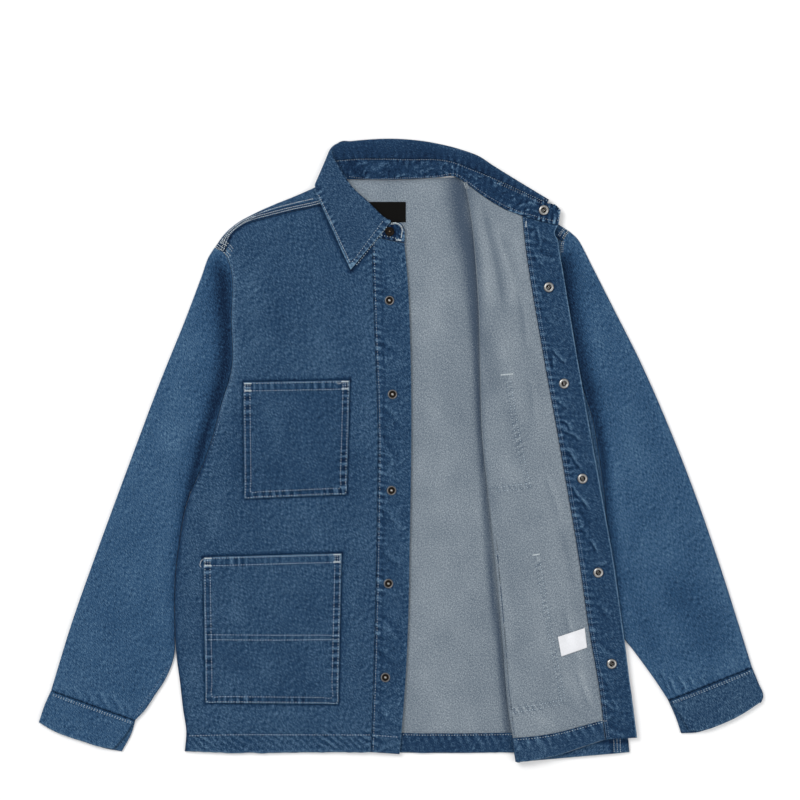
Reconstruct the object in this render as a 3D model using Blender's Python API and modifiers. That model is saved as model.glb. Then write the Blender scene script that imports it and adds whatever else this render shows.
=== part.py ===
"""A denim barn jacket that lies on its back with the wearer's left front turned open.

Every size and table is in millimetres. The origin is the middle of the back's underside:
+X runs to the wearer's left, +Y to the collar and +Z up. Heights are those of a cloth's
middle, halfway through its thickness.
"""

import math

import bmesh
import bpy
import numpy as np

MM = 0.001

# Cloth and clearances
PLY = 1.2
DOUBLE_PLY = 2.2
SEAM_GAP = 0.3
LAYER_STEP = PLY + SEAM_GAP

# Heights of the layers
BACK_Z = PLY / 2
FRONT_Z = 2.4
NECK_LIFT = 6.1
NECK_LIFT_REACH = 45.0
BACK_NECK_LIFT = 3.3
BACK_NECK_LIFT_REACH = 25.0
PLACKET_LIFT = 1.3
HEM_LIFT = 1.2
HEM_DEPTH = 25.0
NECK_CREASE = (-97.0, 349.0)

# Sleeves and cuffs, pressed flat
SLEEVE_TOP_HEIGHT = 3.0
SLEEVE_HEIGHT = 6.2
SLEEVE_EDGE_RISE = 1.3
CUFF_HEIGHT = 5.6
SLEEVE_CROWN = 0.8
CUFF_SLIT = 11.0

# Rows of the panels, counted down the armhole and down the side
RIGHT_SPANS = (9, 9)
LEFT_SPANS = (10, 8)
SHOULDER_COLUMNS = 8
# Columns of the left front: over the back, round the roll, and turned open
LOW_COLUMNS = 6
ROLL_COLUMNS = 6
HIGH_COLUMNS = 8

# Press fasteners
STUD_RADIUS = 6.2
SOCKET_RADIUS = 6.6
FLANGE_RADIUS = 5.5
CAP_RADIUS = 6.8

# Outlines of the body, from hem or neck outwards (x, y)
RIGHT_SHOULDER_FOLD = [
    (-101.5, 346.5), (-111, 342), (-138.5, 330), (-166, 319), (-192, 307), (-213, 295),
    (-228, 282), (-240.5, 265),
]
RIGHT_SHOULDER_SEAM = [
    (-82.5, 325.2), (-111, 317), (-140, 311), (-168, 304), (-203.5, 292.5), (-218, 281),
    (-228, 257.5),
]
RIGHT_ARMHOLE = [
    (-228, 257.5), (-221.5, 242), (-219, 169), (-219, 105), (-232, 60), (-245, 13),
    (-259.5, -26), (-272.5, -54.5),
]
RIGHT_SIDE = [
    (-272.5, -54.5), (-280, -79), (-286.5, -118), (-292, -162.5), (-293, -208),
    (-290.5, -270), (-286.5, -299), (-282, -338), (-278, -366), (-280, -391.5),
]
LEFT_SHOULDER_FOLD = [(82.5, 356), (131, 333), (183, 308), (218, 287)]
LEFT_SHOULDER_SEAM = [(87.5, 346.5), (131, 320.5), (176, 297.5), (210.5, 271.5)]
LEFT_ARMHOLE = [
    (210.5, 271.5), (208.5, 244.5), (212.5, 195), (223, 130), (238.5, 78), (250, 43),
    (257, 6.5), (262, -28.5), (266.5, -65), (268.5, -97.5),
]
LEFT_SIDE = [
    (268.5, -97.5), (271, -123.5), (276.5, -170), (282, -220), (286, -260), (290, -312),
    (297, -377), (298.5, -392.5),
]
BACK_NECK = [(-97, 349.5), (-94, 350.7), (-71, 352.2), (-45, 352), (0.7, 352), (47.5, 354.4), (66, 355.5), (82.5, 356)]
BACK_HEM = [(-280, -391.5), (-220, -393), (-37, -393), (66, -394), (151, -393), (298.5, -392.5)]
RIGHT_FRONT_HEM = [(-280, -391.5), (-220, -393.2), (-129, -393.2), (-37.5, -392)]
RIGHT_BAND = [(-37.5, -392), (-35, -317), (-30.5, -143), (-29, 45.5), (-33, 156), (-36.5, 273)]
RIGHT_EDGE = [(-0.7, -394.5), (3.2, -352), (9.8, -247), (12.3, -143), (13.7, 130), (11, 205), (5.9, 269.8)]

# The left front, a row from neck to hem: its fold, its seam with the placket (x, y each),
# and the turned cloth's height at the roll and at the placket.
LEFT_FRONT_ROWS = [
    # fold_x, fold_y, band_x, band_y, roll_z, band_z
    (84, 347, 159, 300.5, 7.8, 8.8),
    (88, 327.5, 161, 282, 8.4, 8.6),
    (93, 296.5, 164.5, 253.5, 8.8, 8.2),
    (98, 244.5, 171, 212, 9.2, 7.0),
    (102, 182, 179.5, 162.5, 9.2, 6.2),
    (104, 95, 190.5, 100, 9.2, 6.0),
    (106.5, 19.5, 203.5, 28.5, 9.3, 6.0),
    (114, -54.5, 216, -43, 9.3, 6.0),
    (124, -149.5, 231.5, -134, 9.3, 6.0),
    (133, -247, 245.5, -231.5, 9.3, 6.0),
    (141, -339.5, 260.5, -320, 9.3, 6.0),
    (147.5, -379.5, 264.5, -356, 9.4, 6.0),
    (151.5, -405, 267, -375.5, 9.6, 6.0),
]
LEFT_FRONT_HEM = [(151.5, -405), (190, -399), (267, -375.5)]
LEFT_EDGE = [
    (308, -373), (300, -312), (292, -250), (284, -220), (269, -96), (244, 43), (231, 117),
    (216, 207), (211, 237), (207.3, 257.5), (204.8, 273), (200.8, 282), (205, 292),
]

# The sleeves: outer side from the shoulder to the cuff seam, and inner side where it is free
RIGHT_SLEEVE_OUTER = [
    (-241.2, 264.4), (-249, 252), (-258, 227.5), (-280, 169), (-311.5, 91), (-341, 13),
    (-370, -65), (-398.5, -143), (-426, -221), (-454, -312),
]
RIGHT_SLEEVE_FREE = [(-293.5, -265), (-306, -299), (-319, -318.5), (-332, -338), (-344.5, -351)]
LEFT_SLEEVE_OUTER = [
    (219.3, 286.4), (231, 275.5), (240, 260), (246.5, 247), (276, 188.5), (315, 110.5),
    (357, 13), (387, -65), (414, -143), (439, -221), (458, -282),
]
LEFT_SLEEVE_FREE = [(288.5, -240), (303.5, -260), (318, -279.5), (332, -299), (349, -325)]
# The cuffs: from the seam to the end, and along the end from the outer to the inner side
RIGHT_CUFF_OUTER = [(-454.2, -312.6), (-462, -330), (-470, -353.5)]
RIGHT_CUFF_END = [(-470, -353.5), (-452.5, -363.5), (-429, -373), (-404, -381), (-386, -387), (-362, -391.5)]
RIGHT_CUFF_INNER = [(-344.8, -351.6), (-349, -366.5), (-362, -391.5)]
LEFT_CUFF_OUTER = [(458.3, -282.6), (466, -301.5), (472.5, -321), (470, -327)]
LEFT_CUFF_END = [(470, -327), (447, -341.5), (410, -359), (388, -366.5), (366, -368)]
LEFT_CUFF_INNER = [(349.4, -325.6), (359.5, -348.5), (366, -368)]

# The collar, a row from the wearer's right front end round the neck to the left end:
# the neck seam, the top of the stand, the roll and the leaf's edge (x, y each), the
# heights of the neck seam, the stand's top and the leaf's edge, how far the leaf falls
# clear of the stand, and how far round the neck the collar has turned, in degrees.
COLLAR_ROWS = [
    # neck, stand_top, roll, edge, neck_z, stand_z, edge_z, fall_gap, turn
    (5.9, 270.4, 5.9, 287.5, 0, 0, 0, 0, 3.7, 3.7, 0, 0, 0),
    (0.7, 271.2, 1.3, 295, 0, 0, 0, 0, 3.7, 3.7, 0, 0, 0),
    (-12.3, 273.7, -11.1, 295.8, -13, 299.7, -64, 235, 3.7, 3.7, 5.8, 2.8, 0),
    (-29.2, 278.2, -20.7, 298.4, -18.5, 302.2, -71, 249.6, 3.8, 3.8, 5.6, 2.8, 0),
    (-59, 303, -45, 321.4, -42.2, 324.4, -86.5, 284.7, 4.6, 4.6, 6.6, 2.9, 0),
    (-82.5, 326.3, -67.6, 343.2, -64.4, 345.8, -100, 314.6, 7.4, 7.4, 8.9, 3.0, 0),
    (-94.2, 341.5, -80.2, 361.9, -76.7, 365.3, -106, 329.6, 8.6, 8.6, 10.4, 2.8, 0),
    (-98.4, 346.8, -87, 372.5, -86, 381.5, -107.9, 340.6, 8.0, 8.0, 10.0, 2.8, 45),
    (-99.4, 349.1, -91, 374.4, -88.4, 390, -105.3, 348.5, 6.3, 6.3, 6.3, 2.8, 90),
    (-98.4, 350.6, -89.7, 375.7, -86, 395.2, -98.8, 358.5, 4.6, 4.6, 2.6, 2.8, 135),
    (-94, 351.4, -84.5, 376.4, -80.6, 399.8, -90.4, 363.5, 4.1, 4.1, 1.3, 2.8, 180),
    (-71, 352.8, -65.7, 378.3, -63, 402.6, -67, 364.5, 1.8, 4.1, 1.3, 2.8, 180),
    (-45, 352.6, -43.6, 378.9, -38.7, 404.8, -41, 364.5, 1.2, 4.1, 1.3, 2.8, 180),
    (0.7, 352.6, 0.7, 378.9, 2, 405.3, 0.7, 364.5, 1.2, 4.1, 1.3, 2.8, 180),
    (47.5, 355.1, 48.8, 377.7, 48.8, 399.4, 47.5, 364.5, 1.4, 4.1, 1.3, 2.8, 180),
    (71, 356.5, 72.8, 374, 76, 392.6, 72.2, 365, 2.8, 4.8, 2.0, 2.8, 180),
    (85.2, 348.4, 91.7, 366.6, 99.5, 384.2, 88, 357, 7.3, 7.3, 4.5, 2.8, 180),
    (104.7, 333.4, 113.8, 357.2, 121, 370.5, 97, 320, 8.2, 8.2, 4.7, 3.0, 180),
    (137.2, 313.3, 146.2, 341.9, 152, 351.3, 125.5, 299.7, 8.5, 8.5, 4.7, 3.6, 180),
    (176.2, 299.9, 182.7, 325, 186, 330.7, 154, 264, 8.8, 8.8, 4.6, 4.2, 180),
    (184, 297.7, 191, 321.4, 193.7, 326, 155.3, 257.4, 8.8, 8.8, 4.6, 4.2, 180),
    (198.2, 294.4, 202.8, 318.5, 0, 0, 0, 0, 8.8, 8.8, 0, 0, 180),
    (205.4, 292.8, 208.4, 312, 0, 0, 0, 0, 8.8, 8.8, 0, 0, 180),
]
LEAF_ROWS = slice(2, 21)
STAND_RISE = 12.0

# Patch pockets on the right front: corners from the top outer one round (x, y)
CHEST_POCKET = [(-203.5, 88.5), (-65.5, 91), (-69.5, -57), (-202, -62.5)]
LOWER_POCKET = [(-255.5, -139), (-76, -134), (-80.5, -329.5), (-252.5, -328)]
# On the left front: top and bottom along the fold, and widths each side of the fold
LEFT_POCKETS = {
    # name: (top_y, bottom_y, top width on the turned cloth, bottom width there, whole width)
    "left_chest_pocket": (93, -57, 36, 49, 137),
    "left_lower_pocket": (-139, -335, 57, 69, 176),
}

POCKET_ROLL = 9.0

NECK_LABEL = (-50, 7.5, 297, 323.5)
SIDE_LABEL_CORNERS = [(205, -242), (240, -230.5), (243, -256), (209.5, -267.5)]
LABEL_THICKNESS = 0.5

STUD_PLACES = [(-13.4, 284.6), (-13.7, 195), (-9.8, 73), (-11, -52), (-15, -173), (-19, -295)]
SOCKET_PLACES = [(186.6, 312), (193.2, 212), (213, 87), (237, -36.5), (257.5, -158.5), (275, -277)]

# Turned profiles, radius and height, from the top at the axis down the outer side
STUD_PROFILE = [
    (0, 2.4), (1.4, 2.2), (1.9, 1.6), (1.8, 0.5), (4.0, 0.45), (4.6, 1.3), (5.6, 1.2),
    (STUD_RADIUS, 0.5), (STUD_RADIUS - 0.3, 0), (0, 0),
]
SOCKET_PROFILE = [
    (0, 0.7), (2.9, 0.7), (3.2, 1.7), (4.2, 2.2), (5.6, 1.9), (SOCKET_RADIUS, 0.9),
    (SOCKET_RADIUS - 0.4, 0), (0, 0),
]
FLANGE_PROFILE = [(0, 0.8), (FLANGE_RADIUS, 0.8), (FLANGE_RADIUS, 0.2), (FLANGE_RADIUS - 0.5, 0), (0, 0)]
CAP_PROFILE = [(0, 1.2), (CAP_RADIUS, 1.2), (CAP_RADIUS, 0.7), (CAP_RADIUS - 1.6, 0.1), (0, 0)]

DENIM = (0.030, 0.075, 0.150)
DENIM_INSIDE = (0.205, 0.250, 0.295)
SILVER = (0.50, 0.48, 0.44)
BRASS = (0.22, 0.17, 0.11)


# Curves and grids


def smooth(rows, at, by=2):
    """The rows' smooth curve by chord length in the first `by` columns, read where `at` runs from 0 to 1."""
    rows = np.asarray(rows, float)
    along = chords(rows[:, :by])
    slopes = np.diff(rows, axis=0) / np.diff(along)[:, None]
    tangents = np.empty_like(rows)
    tangents[0], tangents[-1] = slopes[0], slopes[-1]
    before, after = np.diff(along)[:-1, None], np.diff(along)[1:, None]
    tangents[1:-1] = (slopes[:-1] * after + slopes[1:] * before) / (before + after)
    at = np.clip(np.asarray(at, float), 0, 1)
    span = np.clip(np.searchsorted(along, at, side="right") - 1, 0, len(rows) - 2)
    width = (along[span + 1] - along[span])[:, None]
    t = (at - along[span])[:, None] / width
    return (
        (2 * t**3 - 3 * t**2 + 1) * rows[span]
        + (t**3 - 2 * t**2 + t) * width * tangents[span]
        + (3 * t**2 - 2 * t**3) * rows[span + 1]
        + (t**3 - t**2) * width * tangents[span + 1]
    )


def chords(points):
    """How far along its polyline each point is, from 0 to 1."""
    steps = np.linalg.norm(np.diff(points, axis=0), axis=1)
    along = np.concatenate([[0], np.cumsum(steps)])
    return along / along[-1]


def even(rows, count):
    return smooth(rows, np.linspace(0, 1, count))


def by_rows(rows, steps):
    """The rows' smooth curve with `steps` points to each span between two rows."""
    rows = np.asarray(rows, float)
    ends = chords(rows[:, :4])
    places = np.arange((len(rows) - 1) * steps + 1) / steps
    found = smooth(rows, np.interp(places, np.arange(len(rows)), ends), by=4)
    # Heights and turns stay between those of the two rows.
    before = np.minimum(places.astype(int), len(rows) - 2)
    low = np.minimum(rows[before], rows[before + 1])
    high = np.maximum(rows[before], rows[before + 1])
    found[:, 8:] = np.clip(found, low, high)[:, 8:]
    return found


def patch(low, high, left, right):
    """A grid whose four sides are the given curves, blended across (a Coons patch)."""
    across = np.linspace(0, 1, len(low))[None, :, None]
    up = np.linspace(0, 1, len(left))[:, None, None]
    sides = (1 - across) * left[:, None] + across * right[:, None]
    ends = (1 - up) * low[None] + up * high[None]
    corners = (1 - up) * ((1 - across) * low[0] + across * low[-1])
    corners = corners + up * ((1 - across) * high[0] + across * high[-1])
    return sides + ends - corners


def ramp(value, start, end):
    t = np.clip((value - start) / (end - start), 0, 1)
    return t * t * (3 - 2 * t)


def bump(plan, centre, reach):
    away = np.linalg.norm(plan[..., :2] - np.asarray(centre), axis=-1)
    return np.exp(-((away / reach) ** 2))


def moved(curve, distance):
    """The plan curve moved square to itself, to the left of its run."""
    run = np.gradient(curve[:, :2], axis=0)
    run /= np.linalg.norm(run, axis=1)[:, None]
    return curve[:, :2] + distance * np.stack([-run[:, 1], run[:, 0]], axis=1)


def with_height(plan, height):
    return np.concatenate([plan[..., :2], np.broadcast_to(height, plan.shape[:-1])[..., None]], axis=-1)


# Heights of the panels


def hem_lift(plan):
    """The cloth rises over the turned-up hem, but not at its two ends."""
    x, y = plan[..., 0], plan[..., 1]
    return HEM_LIFT * ramp(-y, 328, 350) * ramp(x, -280, -268) * ramp(-x, -298, -280)


def back_height(plan):
    return BACK_Z + BACK_NECK_LIFT * bump(plan, NECK_CREASE, BACK_NECK_LIFT_REACH)


def front_height(plan):
    neck = NECK_LIFT * bump(plan, NECK_CREASE, NECK_LIFT_REACH)
    placket = PLACKET_LIFT * ramp(plan[..., 0], -120, -45)
    return FRONT_Z + neck + placket + hem_lift(plan)


# Objects


def start_scene():
    for obj in list(bpy.data.objects):
        bpy.data.objects.remove(obj, do_unlink=True)
    collection = bpy.data.collections.new("barn_jacket")
    bpy.context.scene.collection.children.link(collection)
    return collection


def finish_material(name, colour, roughness, metallic):
    material = bpy.data.materials.new(name)
    material.use_nodes = True
    shader = material.node_tree.nodes["Principled BSDF"]
    shader.inputs["Base Color"].default_value = (*colour, 1)
    shader.inputs["Roughness"].default_value = roughness
    shader.inputs["Metallic"].default_value = metallic
    return material


def place(obj, collection, colour, roughness=0.9, metallic=0.0):
    obj.data.materials.append(finish_material(obj.name + "_finish", colour, roughness, metallic))
    collection.objects.link(obj)
    return obj


def sheet(name, grids, thickness, collection, colour=DENIM):
    """A cloth of even thickness on grids of points that share their edges."""
    points = []
    faces = []
    for grid in grids:
        rows, columns = grid.shape[:2]
        index = np.arange(rows * columns).reshape(rows, columns) + len(points)
        points.extend(grid.reshape(-1, 3) * MM)
        corners = [index[:-1, :-1], index[:-1, 1:], index[1:, 1:], index[1:, :-1]]
        faces.extend(np.stack([corner.ravel() for corner in corners], axis=1).tolist())
    mesh = bpy.data.meshes.new(name)
    mesh.from_pydata([tuple(point) for point in points], [], faces)
    weld(mesh)
    obj = bpy.data.objects.new(name, mesh)
    wall = obj.modifiers.new("cloth", "SOLIDIFY")
    wall.thickness = thickness * MM
    wall.offset = 0
    wall.use_even_offset = True
    wall.use_quality_normals = True
    return place(obj, collection, colour)


def weld(mesh):
    """Makes one of the points that two grids share."""
    joined = bmesh.new()
    joined.from_mesh(mesh)
    bmesh.ops.remove_doubles(joined, verts=joined.verts, dist=0.01 * MM)
    joined.to_mesh(mesh)
    joined.free()


def turned(name, profile, place_at, collection, colour, sides):
    mesh = bpy.data.meshes.new(name)
    points = [(radius * MM, 0, height * MM) for radius, height in profile]
    mesh.from_pydata(points, [(i, i + 1) for i in range(len(points) - 1)], [])
    obj = bpy.data.objects.new(name, mesh)
    obj.location = [value * MM for value in place_at]
    screw = obj.modifiers.new("turned", "SCREW")
    screw.axis = "Z"
    screw.steps = sides
    screw.render_steps = sides
    screw.use_merge_vertices = True
    screw.merge_threshold = 0.01 * MM
    return place(obj, collection, colour, roughness=0.35, metallic=1.0)


# Body


def body_line(armhole, side, spans):
    """The panels' edge from the shoulder seam down the armhole and the side to the hem."""
    return np.concatenate([even(armhole, spans[0] + 1), even(side, spans[1] + 1)[1:]])


def shoulder_strip(fold, seam, low_z, high_z):
    """The rows that carry the back over a shoulder fold and flat to the forward seam."""
    run = seam - fold
    run /= np.linalg.norm(run, axis=1)[:, None]
    radius = (high_z - low_z) / 2
    centre = fold + (radius + PLY / 2)[:, None] * run
    rows = []
    for angle in np.linspace(-90, 90, 5):
        out = radius * math.cos(math.radians(angle))
        rise = radius * math.sin(math.radians(angle))
        rows.append(with_height(centre - out[:, None] * run, (low_z + high_z) / 2 + rise))
    for share in (0.5, 1.0):
        rows.append(with_height(centre + share * (seam - centre), high_z))
    return np.array(rows)


def build_back(collection):
    right_columns, neck_columns, left_columns = SHOULDER_COLUMNS, 7, LOW_COLUMNS
    right_fold = even(RIGHT_SHOULDER_FOLD, right_columns + 1)
    right_seam = moved(even(RIGHT_SHOULDER_SEAM, right_columns + 1), -1.3 * SEAM_GAP)
    left_fold = even(LEFT_SHOULDER_FOLD, left_columns + 1)
    left_seam = moved(even(LEFT_SHOULDER_SEAM, left_columns + 1), 2 * SEAM_GAP)
    right_strip = shoulder_strip(right_fold, right_seam, back_height(right_fold), front_height(right_seam))
    left_strip = shoulder_strip(left_fold, left_seam, back_height(left_fold), FRONT_Z + 0 * left_fold[:, 0])
    neck = even(BACK_NECK, neck_columns + 1)
    top = np.concatenate([right_strip[0, ::-1, :2], neck[1:-1], left_strip[0, :, :2]])
    hem = smooth(BACK_HEM, chords(top))
    right = np.concatenate([body_line(RIGHT_ARMHOLE, RIGHT_SIDE, RIGHT_SPANS)[::-1], top[:1]])
    left = np.concatenate([body_line(LEFT_ARMHOLE, LEFT_SIDE, LEFT_SPANS)[::-1], top[-1:]])
    panel = patch(hem, top, right, left)
    panel = with_height(panel, back_height(panel))
    # The shoulder columns end on the strips' first rows, so that the grids share their points.
    panel[-1, : right_columns + 1] = right_strip[0, ::-1]
    panel[-1, -left_columns - 1 :] = left_strip[0]
    sheet("back", [panel, right_strip[:, ::-1], left_strip], PLY, collection, DENIM_INSIDE)


def build_back_hem(collection):
    edge = smooth(BACK_HEM, np.linspace(0.035, 0.955, 9)) + (0, 0.6)
    band = np.array([edge, edge + (0, HEM_DEPTH)])
    sheet("back_hem", [with_height(band, BACK_Z + LAYER_STEP)], PLY, collection)


def neck_line(start, end, count):
    """Points of a front's edge just under the collar's neck seam, between two places across."""
    curve = by_rows(COLLAR_ROWS, 2)[:, :2]
    half = curve[:17] if start < 0 else curve[30:]
    half = half[np.argsort(half[:, 0])]
    across = np.linspace(start, end, count)
    line = np.stack([across, np.interp(across, half[:, 0], half[:, 1])], axis=1)
    return moved(line, -2.5 * SEAM_GAP)


def right_front_grid(neck_columns=7):
    seam = even(RIGHT_SHOULDER_SEAM, SHOULDER_COLUMNS + 1)[::-1]
    neck = neck_line(-82, -36.5, neck_columns + 1)
    top = np.concatenate([seam, neck[1:]])
    left = body_line(RIGHT_ARMHOLE, RIGHT_SIDE, RIGHT_SPANS)[::-1]
    right = even(RIGHT_BAND[:-1] + [tuple(top[-1])], len(left))
    panel = patch(smooth(RIGHT_FRONT_HEM, chords(top)), top, left, right)
    return with_height(panel, front_height(panel))


def build_right_front(collection):
    sheet("right_front", [right_front_grid()], PLY, collection)


def placket_grid(seam, edge, columns=5):
    """A band from a front's edge to the centre front line, that ends under the collar's neck seam."""
    inner = seam + (SEAM_GAP, 0)
    outer = even(edge, len(inner))
    neck = neck_line(inner[-1, 0], outer[-1, 0], columns + 1)
    inner[-1, 1], outer[-1] = neck[0, 1], neck[-1]
    neck[0] = inner[-1]
    return patch(np.linspace(inner[0], outer[0], columns + 1), neck, inner, outer)


def build_right_placket(collection):
    band = placket_grid(right_front_grid()[:, -1, :2], RIGHT_EDGE)
    sheet("right_placket", [with_height(band, front_height(band))], DOUBLE_PLY, collection)


# The left front, turned open


def left_front_grid():
    """Columns run from the side over the back to the fold, round the roll, and out again."""
    side = body_line(LEFT_ARMHOLE, LEFT_SIDE, LEFT_SPANS)[::-1]
    table = even(LEFT_FRONT_ROWS[::-1], len(side))
    fold, band, roll_z, band_z = table[:, 0:2], table[:, 2:4], table[:, 4], table[:, 5]
    low_z = FRONT_Z + hem_lift(fold)
    radius = (roll_z - low_z) / 2
    centre = fold + np.stack([radius + PLY / 2, 0 * radius], axis=1)
    low = np.linspace(side, centre, LOW_COLUMNS + 1, axis=1)
    low[-1] = even(LEFT_SHOULDER_SEAM[::-1], LOW_COLUMNS + 1)
    low = with_height(low, FRONT_Z + hem_lift(low))
    low[:, -1, 2] = low_z
    centre[-1] = low[-1, -1, :2]
    roll = []
    for angle in np.linspace(-90, 90, ROLL_COLUMNS + 1)[1:-1]:
        out = radius * math.cos(math.radians(angle))
        rise = radius * math.sin(math.radians(angle))
        roll.append(with_height(centre - np.stack([out, 0 * out], axis=1), (low_z + roll_z) / 2 + rise))
    neck = neck_line(centre[-1, 0], band[-1, 0], HIGH_COLUMNS + 1)
    hem = even(LEFT_FRONT_HEM, HIGH_COLUMNS + 1)
    hem[0, 0] = centre[0, 0]
    centre[-1], centre[0] = neck[0], hem[0]
    band[-1], band[0] = neck[-1], hem[-1]
    share = ramp(np.linspace(0, 1, HIGH_COLUMNS + 1), 0, 1)[None]
    height = roll_z[:, None] * (1 - share) + band_z[:, None] * share
    high = with_height(patch(hem, neck, centre, band), height)
    return np.concatenate([low, np.array(roll).transpose(1, 0, 2), high], axis=1)


def build_left_front(collection):
    sheet("left_front", [left_front_grid()], PLY, collection, DENIM_INSIDE)


def surface_normals(grid):
    """Square to a grid, on the side that is the wearer's inside for the left front."""
    normals = np.cross(np.gradient(grid, axis=1), np.gradient(grid, axis=0))
    return normals / np.linalg.norm(normals, axis=-1)[..., None]


def read_grid(grid, rows, columns):
    """Points of a grid at rows and columns that may lie between its own."""
    row, column = np.broadcast_arrays(rows, columns)
    r0 = np.clip(np.floor(row).astype(int), 0, grid.shape[0] - 2)
    c0 = np.clip(np.floor(column).astype(int), 0, grid.shape[1] - 2)
    fr, fc = (row - r0)[..., None], (column - c0)[..., None]
    near = (1 - fc) * grid[r0, c0] + fc * grid[r0, c0 + 1]
    far = (1 - fc) * grid[r0 + 1, c0] + fc * grid[r0 + 1, c0 + 1]
    return (1 - fr) * near + fr * far


def build_left_front_hem(collection):
    """The hem turned up on the inside, from the roll's outermost line to the placket."""
    grid = left_front_grid()
    inside = grid + LAYER_STEP * surface_normals(grid)
    columns = np.arange(LOW_COLUMNS + ROLL_COLUMNS / 2, grid.shape[1] - 0.5)
    columns[-1] = grid.shape[1] - 1.04
    depth = np.linalg.norm(grid[1, -1] - grid[0, -1])
    rows = np.array([[0.02], [HEM_DEPTH / depth]])
    sheet("left_front_hem", [read_grid(inside, rows, columns[None])], PLY, collection)


def left_placket_grid():
    seam = left_front_grid()[:, -1]
    return with_height(placket_grid(seam[:, :2], LEFT_EDGE), seam[:, 2:3])


def build_left_placket(collection):
    sheet("left_placket", [left_placket_grid()], DOUBLE_PLY, collection)


# Sleeves


def build_sleeve(name, outer_rows, line, free_rows, free_from, flip, collection):
    """A tube pressed flat: open along the armhole, closed under the arm, open at the cuff.

    `line` is the body's edge; the sleeve lies along it down to its point `free_from`.
    """
    beside = moved(line, flip * 2 * SEAM_GAP)[: free_from + 1]
    inner = np.concatenate([beside, even([tuple(beside[-1])] + free_rows, 5)[1:]])
    outer = even(outer_rows, len(inner))
    down = chords(inner)
    armpit = down[RIGHT_SPANS[0] if flip < 0 else LEFT_SPANS[0]]
    outer_height = SLEEVE_TOP_HEIGHT + (SLEEVE_HEIGHT - SLEEVE_TOP_HEIGHT) * ramp(down, 0, 0.3)
    inner_height = SLEEVE_TOP_HEIGHT + SLEEVE_EDGE_RISE * ramp(down, armpit, 0.8)
    settle = ramp(down, 0.86, 1)
    outer_height += (CUFF_HEIGHT - outer_height) * settle
    inner_height += (CUFF_HEIGHT - inner_height) * settle
    run = inner - outer
    run /= np.linalg.norm(run, axis=1)[:, None]
    start = outer + (outer_height / 2)[:, None] * run
    open_rows = down < armpit + 0.001
    closed = down > armpit - 0.001
    inset = np.where(open_rows, np.where(closed, PLY / 2, 0), inner_height / 2)
    end = inner - inset[:, None] * run
    across = np.linspace(0, 1, 8)
    plan = start[:, None] + across[None, :, None] * (end - start)[:, None]
    crown = SLEEVE_CROWN * np.sin(math.pi * across)[None] * (ramp(down, 0.1, 0.4) - ramp(down, 0.8, 0.95))[:, None]
    height = outer_height[:, None] + across[None] * (inner_height - outer_height)[:, None] + crown
    top = with_height(plan, height - PLY / 2)
    bottom = with_height(plan, PLY / 2)
    arc = half_round(start, -run, (outer_height - PLY) / 2, PLY / 2)
    under = half_round(end, run, (inner_height - PLY) / 2, PLY / 2)
    upright = np.linspace(top[:, -1], bottom[:, -1], 5)[1:-1].transpose(1, 0, 2)
    under[open_rows] = upright[open_rows]
    body = np.concatenate([top[:, ::-1], arc, bottom], axis=1)
    edge = np.concatenate([top[:, -1:], under, bottom[:, -1:]], axis=1)[closed]
    if flip < 0:
        body, edge = body[:, ::-1], edge[:, ::-1]
    sheet(name, [body, edge[:, ::-1]], PLY, collection)


def half_round(centre, out, radius, low_z):
    """The middle points of a half circle that joins a top layer to a bottom one."""
    found = []
    for angle in (135, 90, 45):
        reach = radius * math.sin(math.radians(angle))
        rise = radius * (1 - math.cos(math.radians(angle)))
        found.append(with_height(centre + reach[:, None] * out, low_z + rise))
    return np.array(found).transpose(1, 0, 2)


def build_cuff(name, outer_rows, end_rows, inner_rows, flip, collection):
    """A double band round the wrist, closed at the outer side and open at the inner."""
    rows, columns = 5, 9
    outer = even(outer_rows, rows)
    inner = even(inner_rows, rows)
    seam = np.linspace(outer[0], inner[0], columns + 1)
    flat = patch(seam, even(end_rows, columns + 1), outer, inner)
    run = flat[:, -1] - flat[:, 0]
    run /= np.linalg.norm(run, axis=1)[:, None]
    radius = np.full(rows, (CUFF_HEIGHT - DOUBLE_PLY) / 2)
    across = np.linspace(0, 1, columns + 1)[None, :, None]
    start = flat[:, 0] + CUFF_HEIGHT / 2 * run
    low = flat + (1 - across) * (start - flat[:, 0])[:, None]
    slit = 1.5 + (CUFF_SLIT - 1.5) * np.linspace(0, 1, rows)
    high = low - across * (slit[:, None] * run)[:, None]
    top = with_height(high, CUFF_HEIGHT - DOUBLE_PLY / 2)
    bottom = with_height(low, DOUBLE_PLY / 2)
    arc = half_round(start, -run, radius, DOUBLE_PLY / 2)
    band = np.concatenate([top[:, ::-1], arc, bottom], axis=1)
    if flip < 0:
        band = band[:, ::-1]
    sheet(name, [band], DOUBLE_PLY, collection)


# Collar


def build_stand(collection):
    rows = by_rows(COLLAR_ROWS, 2)
    neck, top = rows[:, 0:2], rows[:, 2:4]
    neck_z, top_z = rows[:, 8], rows[:, 9]
    length = np.linalg.norm(top - neck, axis=1)
    strips = []
    for share in (0, STAND_RISE / 27, 1):
        height = neck_z + (top_z - neck_z) * ramp(share * length, 0, STAND_RISE)
        strips.append(with_height(neck + share * (top - neck), height))
    sheet("collar_stand", [np.array(strips)], DOUBLE_PLY, collection)


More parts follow.
